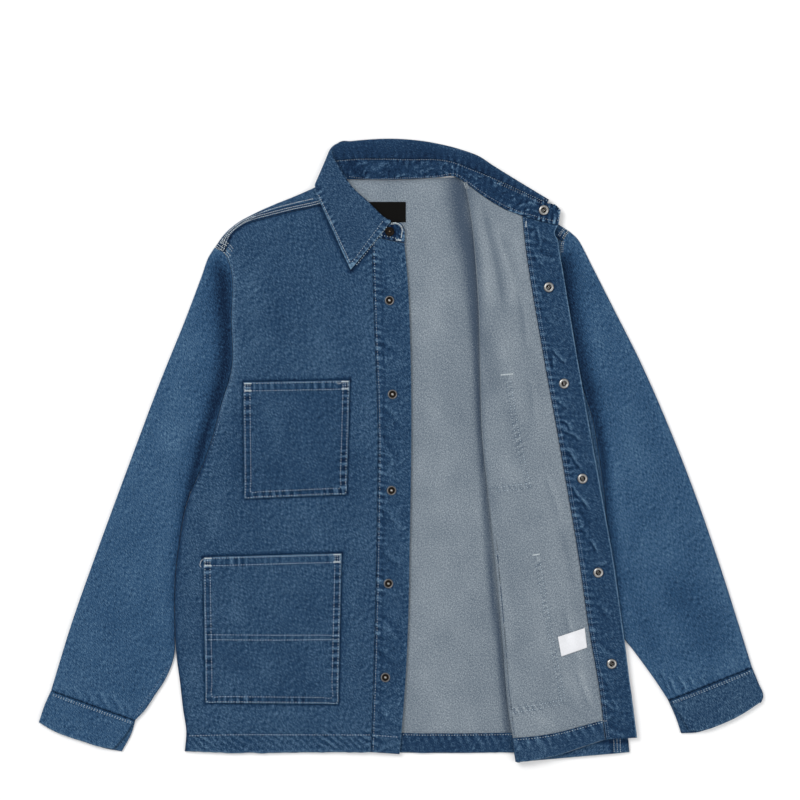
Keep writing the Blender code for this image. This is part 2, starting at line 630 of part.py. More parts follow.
def leaf_grid(steps=2, fall_rows=3):
    """From the stand's top over the roll and down to the leaf's edge, at each row round the neck."""
    rows = by_rows(COLLAR_ROWS[LEAF_ROWS], steps)
    top, roll, edge = rows[:, 2:4], rows[:, 4:6], rows[:, 6:8]
    top_z, edge_z, fall_gap, turn = rows[:, 9], rows[:, 10], rows[:, 11], np.radians(rows[:, 12])
    rise = roll - top
    reach = np.linalg.norm(rise, axis=1)
    rise /= reach[:, None]
    radius = fall_gap / 2
    last = reach - radius - DOUBLE_PLY / 2
    beside = np.stack([-rise[:, 1], rise[:, 0]], axis=1)
    out = with_height(beside * np.sin(turn)[:, None], np.cos(turn))
    up = with_height(rise, 0)
    base = with_height(top, top_z)
    crest = base + last[:, None] * up
    lines = [base + SEAM_GAP * 1.5 * up, crest]
    for angle in np.linspace(0, math.pi, 6)[1:-1]:
        turn_out = (1 - math.cos(angle)) * radius[:, None] * out
        lines.append(crest + math.sin(angle) * radius[:, None] * up + turn_out)
    fall_start = crest + fall_gap[:, None] * out
    fall_end = with_height(edge + (fall_gap[:, None] * out)[:, :2], edge_z)
    # The fall stays high over the stand and sinks towards the edge.
    for share in np.linspace(0, 1, fall_rows + 1):
        plan = fall_start[:, :2] + share * (fall_end - fall_start)[:, :2]
        lines.append(with_height(plan, fall_start[:, 2] + share**2 * (fall_end - fall_start)[:, 2]))
    return np.array(lines)


def build_leaf(collection):
    sheet("collar_leaf", [leaf_grid()], DOUBLE_PLY, collection)


# Pockets and labels


def build_right_pocket(name, corners, collection):
    """A patch on the front's own surface, moved out by one layer."""
    count = 8
    top_outer, top_inner, low_inner, low_outer = (np.array(corner, float) for corner in corners)
    low = np.linspace(low_outer, low_inner, count)
    high = np.linspace(top_outer, top_inner, count)
    left = np.linspace(low_outer, top_outer, count)
    right = np.linspace(low_inner, top_inner, count)
    plan = patch(low, high, left, right)
    height = height_at(right_front_grid(), plan) + LAYER_STEP + 0.1
    sheet(name, [with_height(plan, height)], PLY, collection)


def build_left_pocket(name, collection):
    """A patch inside the fold, on the turned front's outer face, so it is folded too."""
    top_y, bottom_y, top_width, bottom_width, whole_width = LEFT_POCKETS[name]
    grid = left_front_grid()
    outside = grid - LAYER_STEP * surface_normals(grid)
    roll_end = LOW_COLUMNS + ROLL_COLUMNS
    ends = np.interp([bottom_y, top_y], grid[:, LOW_COLUMNS, 1], np.arange(len(grid)))
    rows = np.linspace(ends[0], ends[1], 8)
    near = np.round(rows).astype(int)
    high_width = np.linspace(bottom_width, top_width, 8)
    low_width = whole_width - high_width - POCKET_ROLL
    high_step = np.linalg.norm(grid[near, -1] - grid[near, roll_end], axis=1) / HIGH_COLUMNS
    low_step = np.linalg.norm(grid[near, 0] - grid[near, LOW_COLUMNS], axis=1) / LOW_COLUMNS
    low_columns = LOW_COLUMNS - np.linspace(1, 0, 5)[None] * (low_width / low_step)[:, None]
    roll_columns = np.broadcast_to(np.arange(LOW_COLUMNS + 1, roll_end)[None], (8, ROLL_COLUMNS - 1))
    high_columns = roll_end + np.linspace(0, 1, 4)[None] * (high_width / high_step)[:, None]
    columns = np.concatenate([low_columns, roll_columns, high_columns], axis=1)
    sheet(name, [read_grid(outside, rows[:, None], columns)], PLY, collection)


def build_labels(collection):
    left, right, low, high = NECK_LABEL
    plan = np.array([[(left, low), (right, low)], [(left, high), (right, high)]], float)
    height = back_height(plan) + PLY / 2 + SEAM_GAP + LABEL_THICKNESS / 2
    sheet("neck_label", [with_height(plan, height)], LABEL_THICKNESS, collection, (0.012, 0.011, 0.010))
    corners = [np.array(corner, float) for corner in SIDE_LABEL_CORNERS]
    plan = np.array([np.linspace(corners[3], corners[2], 3), np.linspace(corners[0], corners[1], 3)])
    height = height_at(left_front_grid()[:, LOW_COLUMNS + ROLL_COLUMNS :], plan)
    height = height + (PLY + LABEL_THICKNESS) / 2 + 1.3 * SEAM_GAP
    sheet("side_label", [with_height(plan, height)], LABEL_THICKNESS, collection, (0.72, 0.73, 0.75))


def height_at(grid, plan):
    """A grid's height under each place, read from its nearest point once it is made finer."""
    rows = np.linspace(0, grid.shape[0] - 1, 200)[:, None]
    columns = np.linspace(0, grid.shape[1] - 1, 60)[None]
    fine = read_grid(grid, rows, columns).reshape(-1, 3)
    plan = np.asarray(plan, float)
    away = np.linalg.norm(fine[:, :2] - plan[..., None, :], axis=-1)
    return fine[away.argmin(axis=-1), 2]


# Press fasteners


def build_fasteners(collection):
    right_z = front_height(np.array(STUD_PLACES, float))
    left_z = height_at(left_placket_grid(), SOCKET_PLACES)
    # The first pair sits on the collar stand's ends.
    right_z[0], left_z[0] = COLLAR_ROWS[2][9], COLLAR_ROWS[20][9]
    reach = DOUBLE_PLY / 2 + SEAM_GAP
    left_reach = reach + 0.1
    for i, (x, y) in enumerate(STUD_PLACES):
        place_back = (x, y, right_z[i] - reach - FLANGE_PROFILE[0][1])
        turned(f"snap_stud_{i + 1}", STUD_PROFILE, (x, y, right_z[i] + reach), collection, BRASS, 16)
        turned(f"snap_post_{i + 1}", FLANGE_PROFILE, place_back, collection, BRASS, 12)
    for i, (x, y) in enumerate(SOCKET_PLACES):
        place_back = (x, y, left_z[i] - left_reach - CAP_PROFILE[0][1])
        turned(f"snap_socket_{i + 1}", SOCKET_PROFILE, (x, y, left_z[i] + left_reach), collection, SILVER, 16)
        turned(f"snap_cap_{i + 1}", CAP_PROFILE, place_back, collection, SILVER, 12)


def main():
    jacket = start_scene()
    build_back(jacket)
    build_back_hem(jacket)
    build_right_front(jacket)
    build_right_placket(jacket)
    build_left_front(jacket)
    build_left_front_hem(jacket)
    build_left_placket(jacket)
    right_line = body_line(RIGHT_ARMHOLE, RIGHT_SIDE, RIGHT_SPANS)
    left_line = body_line(LEFT_ARMHOLE, LEFT_SIDE, LEFT_SPANS)
    build_sleeve("right_sleeve", RIGHT_SLEEVE_OUTER, right_line, RIGHT_SLEEVE_FREE, 14, -1, jacket)
    build_sleeve("left_sleeve", LEFT_SLEEVE_OUTER, left_line, LEFT_SLEEVE_FREE, 13, 1, jacket)
    build_cuff("right_cuff", RIGHT_CUFF_OUTER, RIGHT_CUFF_END, RIGHT_CUFF_INNER, -1, jacket)
    build_cuff("left_cuff", LEFT_CUFF_OUTER, LEFT_CUFF_END, LEFT_CUFF_INNER, 1, jacket)
    build_stand(jacket)
    build_leaf(jacket)
    build_right_pocket("right_chest_pocket", CHEST_POCKET, jacket)
    build_right_pocket("right_lower_pocket", LOWER_POCKET, jacket)
    build_left_pocket("left_chest_pocket", jacket)
    build_left_pocket("left_lower_pocket", jacket)
    build_labels(jacket)
    build_fasteners(jacket)


main()
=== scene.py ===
import math
import bmesh
import bpy
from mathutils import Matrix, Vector
import numpy as np


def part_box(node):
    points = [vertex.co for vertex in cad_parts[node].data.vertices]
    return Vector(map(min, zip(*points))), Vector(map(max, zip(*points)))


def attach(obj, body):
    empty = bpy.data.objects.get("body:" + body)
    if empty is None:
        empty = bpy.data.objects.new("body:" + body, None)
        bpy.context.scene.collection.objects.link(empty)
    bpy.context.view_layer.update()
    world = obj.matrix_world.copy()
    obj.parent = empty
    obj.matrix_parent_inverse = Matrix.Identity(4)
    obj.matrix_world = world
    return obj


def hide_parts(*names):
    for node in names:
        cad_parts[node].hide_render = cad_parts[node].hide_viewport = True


# Barn jacket laid on its back with the wearer's left front turned open.
# Every size and table is in millimetres unless it says otherwise; z is the height of a cloth's middle.

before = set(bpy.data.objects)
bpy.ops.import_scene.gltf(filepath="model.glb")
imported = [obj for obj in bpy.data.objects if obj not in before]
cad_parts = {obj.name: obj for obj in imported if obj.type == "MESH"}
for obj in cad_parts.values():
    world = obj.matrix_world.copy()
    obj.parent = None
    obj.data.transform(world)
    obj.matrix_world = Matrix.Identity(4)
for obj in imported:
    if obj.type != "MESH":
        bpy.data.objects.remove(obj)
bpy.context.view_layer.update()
print("frame loaded:", len(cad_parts), "nodes")

cloth = {
    "ply": 1.05,  # a single wall, drawn a little thinner than the solid's 1.2
    "doublePly": 2.0,  # two walls sewn together
    "step": 1.5,  # from one layer's middle to the next
    "gap": 0.3,
    "backZ": 0.6,
    "frontZ": 2.4,
}


# curves and grids


def lengths(ways):
    return np.linalg.norm(ways, axis=-1)


def unit(ways):
    # each direction made one long
    return ways / lengths(ways)[..., None]


def spot(points):
    # places in the photograph's own pixels, 1.3 mm each, to millimetres on the table
    points = np.asarray(points, float)
    return np.stack([(points[..., 0] - 399.5) * 1.3, (450 - points[..., 1]) * 1.3], axis=-1)


def chords(points):
    # share of the whole polyline that lies before each point
    steps = np.linalg.norm(np.diff(points, axis=0), axis=1)
    along = np.concatenate([[0], np.cumsum(steps)])
    return along / along[-1]


def smooth(rows, at, by=2):
    # cubic Hermite curve through the rows, by chord length, read at shares from 0 to 1
    rows = np.asarray(rows, float)
    along = chords(rows[:, :by])
    slopes = np.diff(rows, axis=0) / np.diff(along)[:, None]
    tangents = np.empty_like(rows)
    tangents[0], tangents[-1] = slopes[0], slopes[-1]
    before, after = np.diff(along)[:-1, None], np.diff(along)[1:, None]
    tangents[1:-1] = (slopes[:-1] * after + slopes[1:] * before) / (before + after)
    at = np.clip(np.asarray(at, float), 0, 1)
    span = np.clip(np.searchsorted(along, at, side="right") - 1, 0, len(rows) - 2)
    width = (along[span + 1] - along[span])[:, None]
    t = (at - along[span])[:, None] / width
    return (
        (2 * t**3 - 3 * t**2 + 1) * rows[span]
        + (t**3 - 2 * t**2 + t) * width * tangents[span]
        + (3 * t**2 - 2 * t**3) * rows[span + 1]
        + (t**3 - t**2) * width * tangents[span + 1]
    )


def even(rows, count):
    return smooth(rows, np.linspace(0, 1, count))


def spread(count, pull=0.5):
    # shares from 0 to 1 that lie closer together at both ends
    t = np.linspace(0, 1, count)
    return t - pull * np.sin(2 * math.pi * t) / (2 * math.pi)


def byRows(rows, steps):
    # the collar table's smooth curve, `steps` points to each span, heights kept between their rows
    rows = np.asarray(rows, float)
    places = np.arange((len(rows) - 1) * steps + 1) / steps
    found = smooth(rows, np.interp(places, np.arange(len(rows)), chords(rows[:, :4])), by=4)
    before = np.minimum(places.astype(int), len(rows) - 2)
    low = np.minimum(rows[before], rows[before + 1])
    high = np.maximum(rows[before], rows[before + 1])
    found[:, 8:] = np.clip(found, low, high)[:, 8:]
    return found


def patch(low, high, left, right, across=None, up=None):
    # Coons patch: a grid whose four sides are the given curves, blended by the shares across and up
    across = np.linspace(0, 1, len(low)) if across is None else across
    up = np.linspace(0, 1, len(left)) if up is None else up
    across, up = across[None, :, None], up[:, None, None]
    sides = (1 - across) * left[:, None] + across * right[:, None]
    ends = (1 - up) * low[None] + up * high[None]
    corners = (1 - up) * ((1 - across) * low[0] + across * low[-1])
    corners = corners + up * ((1 - across) * high[0] + across * high[-1])
    return sides + ends - corners


def ramp(value, start, end):
    # eased step from 0 to 1
    t = np.clip((value - start) / (end - start), 0, 1)
    return t * t * (3 - 2 * t)


def bump(plan, centre, reach):
    away = np.linalg.norm(plan[..., :2] - np.asarray(centre), axis=-1)
    return np.exp(-((away / reach) ** 2))


def moved(curve, distance):
    # the plan curve moved square to itself, to the left of its run
    run = np.gradient(curve[:, :2], axis=0)
    run /= np.linalg.norm(run, axis=1)[:, None]
    return curve[:, :2] + distance * np.stack([-run[:, 1], run[:, 0]], axis=1)


def withHeight(plan, height):
    return np.concatenate([plan[..., :2], np.broadcast_to(height, plan.shape[:-1])[..., None]], axis=-1)


def gridNormals(grid, up=1):
    # cross product of the grid's two directions, turned at each point to the upper or under side
    normals = np.cross(np.gradient(grid[..., :3], axis=1), np.gradient(grid[..., :3], axis=0))
    normals /= np.maximum(np.linalg.norm(normals, axis=-1), 1e-9)[..., None]
    return normals * np.where(normals[..., 2:] < 0, -up, up)


def surfaceNormals(grid):
    # square to the left front, on the wearer's inside
    normals = np.cross(np.gradient(grid, axis=1), np.gradient(grid, axis=0))
    return normals / np.linalg.norm(normals, axis=-1)[..., None]


def readGrid(grid, rows, columns):
    # bilinear reading of a grid between its own rows and columns
    row, column = np.broadcast_arrays(rows, columns)
    r0 = np.clip(np.floor(row).astype(int), 0, grid.shape[0] - 2)
    c0 = np.clip(np.floor(column).astype(int), 0, grid.shape[1] - 2)
    fr, fc = (row - r0)[..., None], (column - c0)[..., None]
    near = (1 - fc) * grid[r0, c0] + fc * grid[r0, c0 + 1]
    far = (1 - fc) * grid[r0 + 1, c0] + fc * grid[r0 + 1, c0 + 1]
    return (1 - fr) * near + fr * far


# relief: what the sewing and the lying do to the cloth


def softNoise(plan, size, seed):
    # smooth random values from -1 to 1 on a square lattice of that size, eased between its corners
    table = np.random.default_rng(seed).uniform(-1, 1, (64, 64))
    at = plan[..., :2] / size + 700.37
    low = np.floor(at).astype(int)
    part = at - low
    part = part * part * (3 - 2 * part)
    x0, y0 = low[..., 0] % 64, low[..., 1] % 64
    x1, y1 = (x0 + 1) % 64, (y0 + 1) % 64
    px, py = part[..., 0], part[..., 1]
    return (
        table[x0, y0] * (1 - px) * (1 - py)
        + table[x1, y0] * px * (1 - py)
        + table[x0, y1] * (1 - px) * py
        + table[x1, y1] * px * py
    )


def lineNoise(along, size, seed):
    return softNoise(np.stack([along, 0 * along + seed * 3.1], axis=-1), size, seed)


def besideLine(plan, line, reach):
    # nearest point on each straight span: (distance to the left of the run, millimetres along), far points left out
    flat = plan[..., :2].reshape(-1, 2)
    near = np.all((flat > line.min(0) - reach) & (flat < line.max(0) + reach), axis=1)
    index = np.nonzero(near)[0]
    part = flat[index]
    best, side, arc = np.full(len(part), 1e6), np.ones(len(part)), np.zeros(len(part))
    begun = 0.0
    for start, end in zip(line[:-1], line[1:]):
        step = end - start
        length = float(np.hypot(*step))
        gap = part - start
        t = np.clip(gap @ step / length**2, 0, 1)
        off = gap - t[:, None] * step
        far = np.hypot(off[:, 0], off[:, 1])
        closer = far < best
        best = np.where(closer, far, best)
        side = np.where(closer, np.sign(step[0] * gap[:, 1] - step[1] * gap[:, 0]), side)
        arc = np.where(closer, begun + t * length, arc)
        begun += length
    distance, along = np.full(len(flat), 1e6), np.zeros(len(flat))
    distance[index], along[index] = best * side, arc
    return distance.reshape(plan.shape[:-1]), along.reshape(plan.shape[:-1]), begun


def run(points, step=8.0):
    # a smooth line through the points with about one span to each step
    points = np.asarray(points, float)
    length = np.linalg.norm(np.diff(points, axis=0), axis=1).sum()
    return even(points, max(3, int(length / step) + 1)) if len(points) > 2 else np.linspace(points[0], points[1],
        max(3, int(length / step) + 1))


def rope(plan, line, look, seed):
    # puckers along a seam: a sine of the way along it, slanted and of uneven length, strong between
    # `inner` and `outer` (distances to the left) and dying out past them over `fade`
    distance, along, length = besideLine(plan, line, 30)
    slide = 3.0 * lineNoise(along, 34, seed) + 1.3 * lineNoise(along, 11, seed + 1)
    wave = np.sin(2 * math.pi * (along + look["slant"] * distance) / look["wave"] + slide)
    wave = 1.7 * ramp((1 + wave) / 2, 0.22, 0.98) - 0.75
    past = np.maximum(np.maximum(look["inner"] - distance, distance - look["outer"]), 0)
    force = np.exp(-((past / look["fade"]) ** 1.3)) * (0.68 + 0.62 * lineNoise(along, 24, seed + 2))
    return look["height"] * force * wave, look["tone"] * force * wave


def groove(plan, line, width, height, tone):
    # a narrow dent along a line, with its tone painted along it: painted shade where the tone is below 0, a painted
    # highlight where it is above; with no depth only that painting is left
    distance, along, length = besideLine(plan, line, 4 * width + 5)
    share = np.exp(-((distance / width) ** 2))
    return height * share, tone * share


def fold(plan, points, width, height, tone, ends=0.25):
    # a soft ridge (height above 0) or trough along a line, fading at both ends; the two sides differ a little. Its
    # tone is lighter on a ridge, from wear and painted light, and darker in a trough as painted shade; a narrow one
    # also gets painted shade along one flank
    line = run(points)
    distance, along, length = besideLine(plan, line, 4 * width)
    lean = np.where(distance > 0, 1.25, 0.8) * width
    share = np.exp(-((distance / lean) ** 2))
    reach = max(ends * length, 1e-6)
    share = share * ramp(along, 0, reach) * ramp(length - along, 0, reach)
    share = share * (0.85 + 0.3 * lineNoise(along, 40, int(abs(points[0][0]) * 7) % 60))
    # painted shade along one flank of a narrow fold
    paintedShadeFlank = np.exp(-(((distance + 1.7 * width) / width) ** 2)) * ramp(along, 0, reach) * ramp(length - along, 0,
        reach)
    return height * share, tone * (share - (0.75 if width < 4 else 0) * paintedShadeFlank)


def wrinkles(plan, look, seed):
    # thin wandering ridges where a stretched soft noise crosses zero, in patches, each lit on one side and dark on the other
    c, s = math.cos(math.radians(look["turn"])), math.sin(math.radians(look["turn"]))

    def ridge(dx, dy):
        x, y = plan[..., 0] + dx, plan[..., 1] + dy
        bent = np.stack([(c * x + s * y) / look["long"], (c * y - s * x) / look["across"]], axis=-1)
        return np.clip(1 - np.abs(softNoise(bent, 1.0, seed)) / look["thin"], 0, 1) ** 1.5

    where = ramp(softNoise(plan, look["patch"], seed + 1), look["from"], look["from"] + 0.6)
    lit, dark = ridge(0, 0), ridge(1.4 * s, 1.6 * c)
    return look["height"] * where * lit, look["tone"] * where * (lit - 0.75 * dark)


def relief(plan, ropes=(), grooves=(), folds=(), creases=(), waves=0.35, seed=1):
    # sum of all the puckers, dents, folds and wrinkles, with a slow unevenness: (height, tone); the tone holds their
    # painted light and shade along with wear and random unevenness
    height = waves * softNoise(plan, 62, seed) + 0.4 * waves * softNoise(plan, 23, seed + 1)
    tone = 0.06 * softNoise(plan, 48, seed + 2) + 0.05 * softNoise(plan, 17, seed + 3)
    for i, look in enumerate(creases):
        h, t = wrinkles(plan, look, seed * 5 + i * 7)
        height, tone = height + h, tone + t
    for i, (line, look) in enumerate(ropes):
        h, t = rope(plan, line, look, seed * 17 + i * 3)
        height, tone = height + h, tone + t
    for line, width, h0, t0 in grooves:
        h, t = groove(plan, line, width, h0, t0)
        height, tone = height + h, tone + t
    for entry in folds:
        h, t = fold(plan, *entry)
        height, tone = height + h, tone + t
    return height, tone


# pieces

carriers = {}


def planWeave(points, turn=0.0):
    # the weave lies straight in plan, turned by that many degrees
    c, s = math.cos(math.radians(turn)), math.sin(math.radians(turn))
    return np.stack([c * points[..., 0] + s * points[..., 1], -s * points[..., 0] + c * points[..., 1]], axis=-1)


def arcWeave(points):
    # the weave follows the grid: lengths along its rows from the middle column, and down that column
    middle = points.shape[1] // 2
    across = np.linalg.norm(np.diff(points, axis=1), axis=-1)
    u = np.concatenate([np.zeros((len(points), 1)), np.cumsum(across, axis=1)], axis=1)
    down = np.linalg.norm(np.diff(points[:, middle], axis=0), axis=-1)
    v = np.concatenate([[0], np.cumsum(down)])
    return np.stack([u - u[:, middle : middle + 1], np.broadcast_to(v[:, None], u.shape)], axis=-1)


def layer(points, tone, weave):
    return np.concatenate([points, weave, np.broadcast_to(tone, points.shape[:-1])[..., None]], axis=-1)


def lift(points, height, direction=None):
    # moves a grid out along its own normals, or straight up
    if direction is None:
        return points + np.stack([0 * height, 0 * height, height], axis=-1)
    return points + height[..., None] * direction


def meshOf(name, vertices, faces, uv=None, tone=None, smoothShade=True):
    # vertices in millimetres and quads or triangles, as whole arrays
    mesh = bpy.data.meshes.new(name)
    faces = np.asarray(faces, np.int32)
    count, sides = faces.shape
    mesh.vertices.add(len(vertices))
    mesh.vertices.foreach_set("co", (np.asarray(vertices) * 0.001).astype(np.float32).ravel())
    mesh.loops.add(count * sides)
    mesh.loops.foreach_set("vertex_index", faces.ravel())
    mesh.polygons.add(count)
    mesh.polygons.foreach_set("loop_start", np.arange(0, count * sides, sides, dtype=np.int32))
    mesh.update(calc_edges=True)
    mesh.polygons.foreach_set("use_smooth", np.full(count, smoothShade))
    if uv is not None:
        layerUv = mesh.uv_layers.new(name="weave")
        layerUv.data.foreach_set("uv", (np.asarray(uv)[faces.ravel()] * 0.001).astype(np.float32).ravel())
    if tone is not None:
        values = mesh.attributes.new("tone", "FLOAT", "POINT")
        values.data.foreach_set("value", np.asarray(tone, np.float32).ravel())
    return mesh


def gridFaces(rows, columns, start, flip):
    index = np.arange(rows * columns).reshape(rows, columns) + start
    corners = [index[:-1, :-1], index[:-1, 1:], index[1:, 1:], index[1:, :-1]]
    if flip:
        corners = corners[::-1]
    return np.stack([corner.ravel() for corner in corners], axis=1)


def placed(name, data):
    thing = bpy.data.objects.new(name, data)
    bpy.context.scene.collection.objects.link(thing)
    return thing


def clothPiece(name, layers, tops, thick, finishes, node):
    # grids welded where they meet, given a wall on both sides of their middle surface.
    # tops: for each grid a place (share of rows, of columns, sign) where its first finish faces up (1) or down (-1)
    vertices, faces, start = [], [], 0
    for grid, (rowShare, columnShare, sign) in zip(layers, tops):
        rows, columns = grid.shape[:2]
        r, c = int(rowShare * (rows - 2)), int(columnShare * (columns - 2))
        a, b = grid[r, c + 1, :3] - grid[r, c, :3], grid[r + 1, c, :3] - grid[r, c, :3]
        faces.append(gridFaces(rows, columns, start, np.cross(a, b)[2] * sign < 0))
        vertices.append(grid.reshape(-1, 6))
        start += rows * columns
    vertices = np.concatenate(vertices)
    mesh = meshOf(name, vertices[:, :3], np.concatenate(faces), vertices[:, 3:5], vertices[:, 5])
    if len(layers) > 1:
        joined = bmesh.new()
        joined.from_mesh(mesh)
        bmesh.ops.remove_doubles(joined, verts=joined.verts, dist=2e-5)
        joined.to_mesh(mesh)
        joined.free()
    piece = bpy.data.objects.new(name, mesh)
    bpy.context.scene.collection.objects.link(piece)
    for finish in finishes:
        mesh.materials.append(finish)
    wall = piece.modifiers.new("cloth", "SOLIDIFY")
    wall.thickness = thick * 0.001
    wall.offset = 0
    wall.use_even_offset = False
    wall.use_quality_normals = True
    if len(finishes) > 1:
        wall.material_offset = 1
    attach(piece, "root")
    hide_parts(node)
    return piece


def carry(name, grid, thick, up=1):
    # remembers a grid's upper (or under) face, where stitches lie
    carriers[name] = (grid[..., :3], gridNormals(grid, up), thick / 2)


# finishes


def addNode(tree, kind, **settings):
    node = tree.nodes.new(kind)
    for key, value in settings.items():
        setattr(node, key, value)
    return node


def maths(tree, operation, first, second=None, third=None):
    node = addNode(tree, "ShaderNodeMath", operation=operation)
    for i, value in enumerate([first, second, third]):
        if value is None:
            continue
        if isinstance(value, (int, float)):
            node.inputs[i].default_value = value
        else:
            tree.links.new(value, node.inputs[i])
    return node.outputs[0]


def noiseOn(tree, vector, scale, turn=0.0, detail=2.0, rough=0.55):
    # noise on the cloth's own measure, `scale` in cells to the metre along u and v, then turned to the left
    mapping = addNode(tree, "ShaderNodeMapping", vector_type="TEXTURE")
    mapping.inputs["Scale"].default_value = (1 / scale[0], 1 / scale[1], 1)
    mapping.inputs["Rotation"].default_value = (0, 0, math.radians(turn))
    tree.links.new(vector, mapping.inputs["Vector"])
    noise = addNode(tree, "ShaderNodeTexNoise")
    noise.inputs["Scale"].default_value = 1.0
    noise.inputs["Detail"].default_value = detail
    noise.inputs["Roughness"].default_value = rough
    tree.links.new(mapping.outputs["Vector"], noise.inputs["Vector"])
    return noise.outputs["Fac"]


def newMaterial(name):
    material = bpy.data.materials.new(name)
    material.use_nodes = True
    shader = material.node_tree.nodes["Principled BSDF"]
    return material, material.node_tree, shader


def denim(name, look):
    # dark - base - light ramp, read at 0.5 + grain + twill + slubs + mottling + the relief's own tone, which carries
    # painted light and shade as well as wear
    material, tree, shader = newMaterial(name)
    uv = addNode(tree, "ShaderNodeUVMap", uv_map="weave").outputs["UV"]
    grain = noiseOn(tree, uv, look["grainScale"], look["lean"], 2.5, look.get("grainRough", 0.65))
    twill = noiseOn(tree, uv, look["twillScale"], look["lean"], 1.5)
    slub = noiseOn(tree, uv, (620, 90), look["lean"] - 6, 1.0)
    weft = noiseOn(tree, uv, (1700, 700), 38, 1.0)
    mottle = noiseOn(tree, uv, (24, 15), 0, 3.0)
    tone = addNode(tree, "ShaderNodeAttribute", attribute_name="tone").outputs["Fac"]
    fac = 0.5
    for source, strength in ((grain, "grain"), (twill, "twill"), (slub, "slub"), (weft, "weft"), (mottle, "mottle")):
        part = maths(tree, "MULTIPLY_ADD", source, look[strength], -look[strength] / 2)
        fac = maths(tree, "ADD", part, fac)
    fac = maths(tree, "MULTIPLY_ADD", tone, 0.5, fac)
    colours = addNode(tree, "ShaderNodeValToRGB")
    stops = colours.color_ramp.elements
    stops[0].position, stops[0].color = 0.0, (*look["dark"], 1)
    stops[1].position, stops[1].color = 1.0, (*look["light"], 1)
    middle = stops.new(0.5)
    middle.color = (*look["base"], 1)
    tree.links.new(fac, colours.inputs["Fac"])
    tree.links.new(colours.outputs["Color"], shader.inputs["Base Color"])
    rough = maths(tree, "MULTIPLY_ADD", grain, 0.16, 0.82)
    tree.links.new(rough, shader.inputs["Roughness"])
    shader.inputs["Specular IOR Level"].default_value = 0.07
    bumpNode = addNode(tree, "ShaderNodeBump")
    bumpNode.inputs["Strength"].default_value = look["bump"]
    bumpNode.inputs["Distance"].default_value = 0.0005
    height = maths(tree, "ADD", twill, grain)
    tree.links.new(height, bumpNode.inputs["Height"])
    tree.links.new(bumpNode.outputs["Normal"], shader.inputs["Normal"])
    return material


outsideLook = {
    "dark": (0.0026, 0.0098, 0.030),
    "base": (0.0138, 0.0445, 0.1015),
    "light": (0.128, 0.225, 0.330),
    "grain": 0.62,
    "grainScale": (1000, 840),
    "twill": 1.42,
    "twillScale": (1200, 205),
    "slub": 0.08,
    "weft": 1.0,
    "mottle": 0.13,
    "lean": 40,
    "bump": 0.5,
}
sleeveLook = dict(outsideLook, base=(0.0225, 0.068, 0.146), twillScale=(1200, 200))
collarLook = dict(outsideLook, base=(0.0128, 0.0405, 0.094), twill=1.2, twillScale=(1200, 230), slub=0.08)
insideLook = dict(
    outsideLook,
    dark=(0.050, 0.074, 0.112),
    base=(0.170, 0.208, 0.246),
    light=(0.410, 0.455, 0.490),
    grain=1.6,
    grainScale=(700, 640),
    grainRough=0.72,
    twill=0.6,
    weft=0.35,
    twillScale=(900, 320),
    mottle=0.26,
    lean=-30,
)
denimOutside = denim("denimOutside", outsideLook)
denimSleeve = denim("denimSleeve", sleeveLook)
denimCollar = denim("denimCollar", collarLook)
denimInside = denim("denimInside", insideLook)


def threadFinish(name, colour):
    # spun cotton: fine fuzz and each stitch its own shade
    material, tree, shader = newMaterial(name)
    place = addNode(tree, "ShaderNodeTexCoord").outputs["Object"]
    fuzz = noiseOn(tree, place, (2600, 2600), 0, 1.0)
    tone = addNode(tree, "ShaderNodeAttribute", attribute_name="tone").outputs["Fac"]
    fac = maths(tree, "ADD", maths(tree, "MULTIPLY_ADD", fuzz, 0.5, 0.25), maths(tree, "MULTIPLY", tone, 0.5))
    colours = addNode(tree, "ShaderNodeValToRGB")
    stops = colours.color_ramp.elements
    stops[0].position, stops[0].color = 0.0, (*[c * 0.5 for c in colour], 1)
    stops[1].position, stops[1].color = 1.0, (*[min(1, c * 1.35) for c in colour], 1)
    tree.links.new(fac, colours.inputs["Fac"])
    tree.links.new(colours.outputs["Color"], shader.inputs["Base Color"])
    shader.inputs["Roughness"].default_value = 0.75
    shader.inputs["Specular IOR Level"].default_value = 0.15
    return material


threads = {
    "White": threadFinish("threadWhite", (0.54, 0.60, 0.63)),
    "Pale": threadFinish("threadPale", (0.47, 0.56, 0.63)),
    "Blue": threadFinish("threadBlue", (0.21, 0.31, 0.43)),
}


def metalFinish(name, bright, dull, rough):
    # brushed and handled metal: fine scratches, darker in patches
    material, tree, shader = newMaterial(name)
    place = addNode(tree, "ShaderNodeTexCoord").outputs["Object"]
    scratch = noiseOn(tree, place, (900, 2400), 30, 3.0)
    patch1 = noiseOn(tree, place, (240, 240), 0, 2.0)
    fac = maths(tree, "ADD", maths(tree, "MULTIPLY", scratch, 0.5), maths(tree, "MULTIPLY", patch1, 0.5))
    colours = addNode(tree, "ShaderNodeValToRGB")
    stops = colours.color_ramp.elements
    stops[0].position, stops[0].color = 0.3, (*dull, 1)
    stops[1].position, stops[1].color = 0.62, (*bright, 1)
    tree.links.new(fac, colours.inputs["Fac"])
    tree.links.new(colours.outputs["Color"], shader.inputs["Base Color"])
    tree.links.new(maths(tree, "MULTIPLY_ADD", scratch, 0.25, rough), shader.inputs["Roughness"])
    shader.inputs["Metallic"].default_value = 1.0
    return material


silverMetal = metalFinish("silverMetal", (0.49, 0.485, 0.47), (0.17, 0.167, 0.162), 0.2)
brassMetal = metalFinish("brassMetal", (0.20, 0.145, 0.09), (0.05, 0.036, 0.024), 0.3)
darkMetal = metalFinish("darkMetal", (0.026, 0.020, 0.016), (0.008, 0.007, 0.006), 0.45)
smokedMetal = metalFinish("smokedMetal", (0.24, 0.235, 0.235), (0.10, 0.098, 0.10), 0.3)


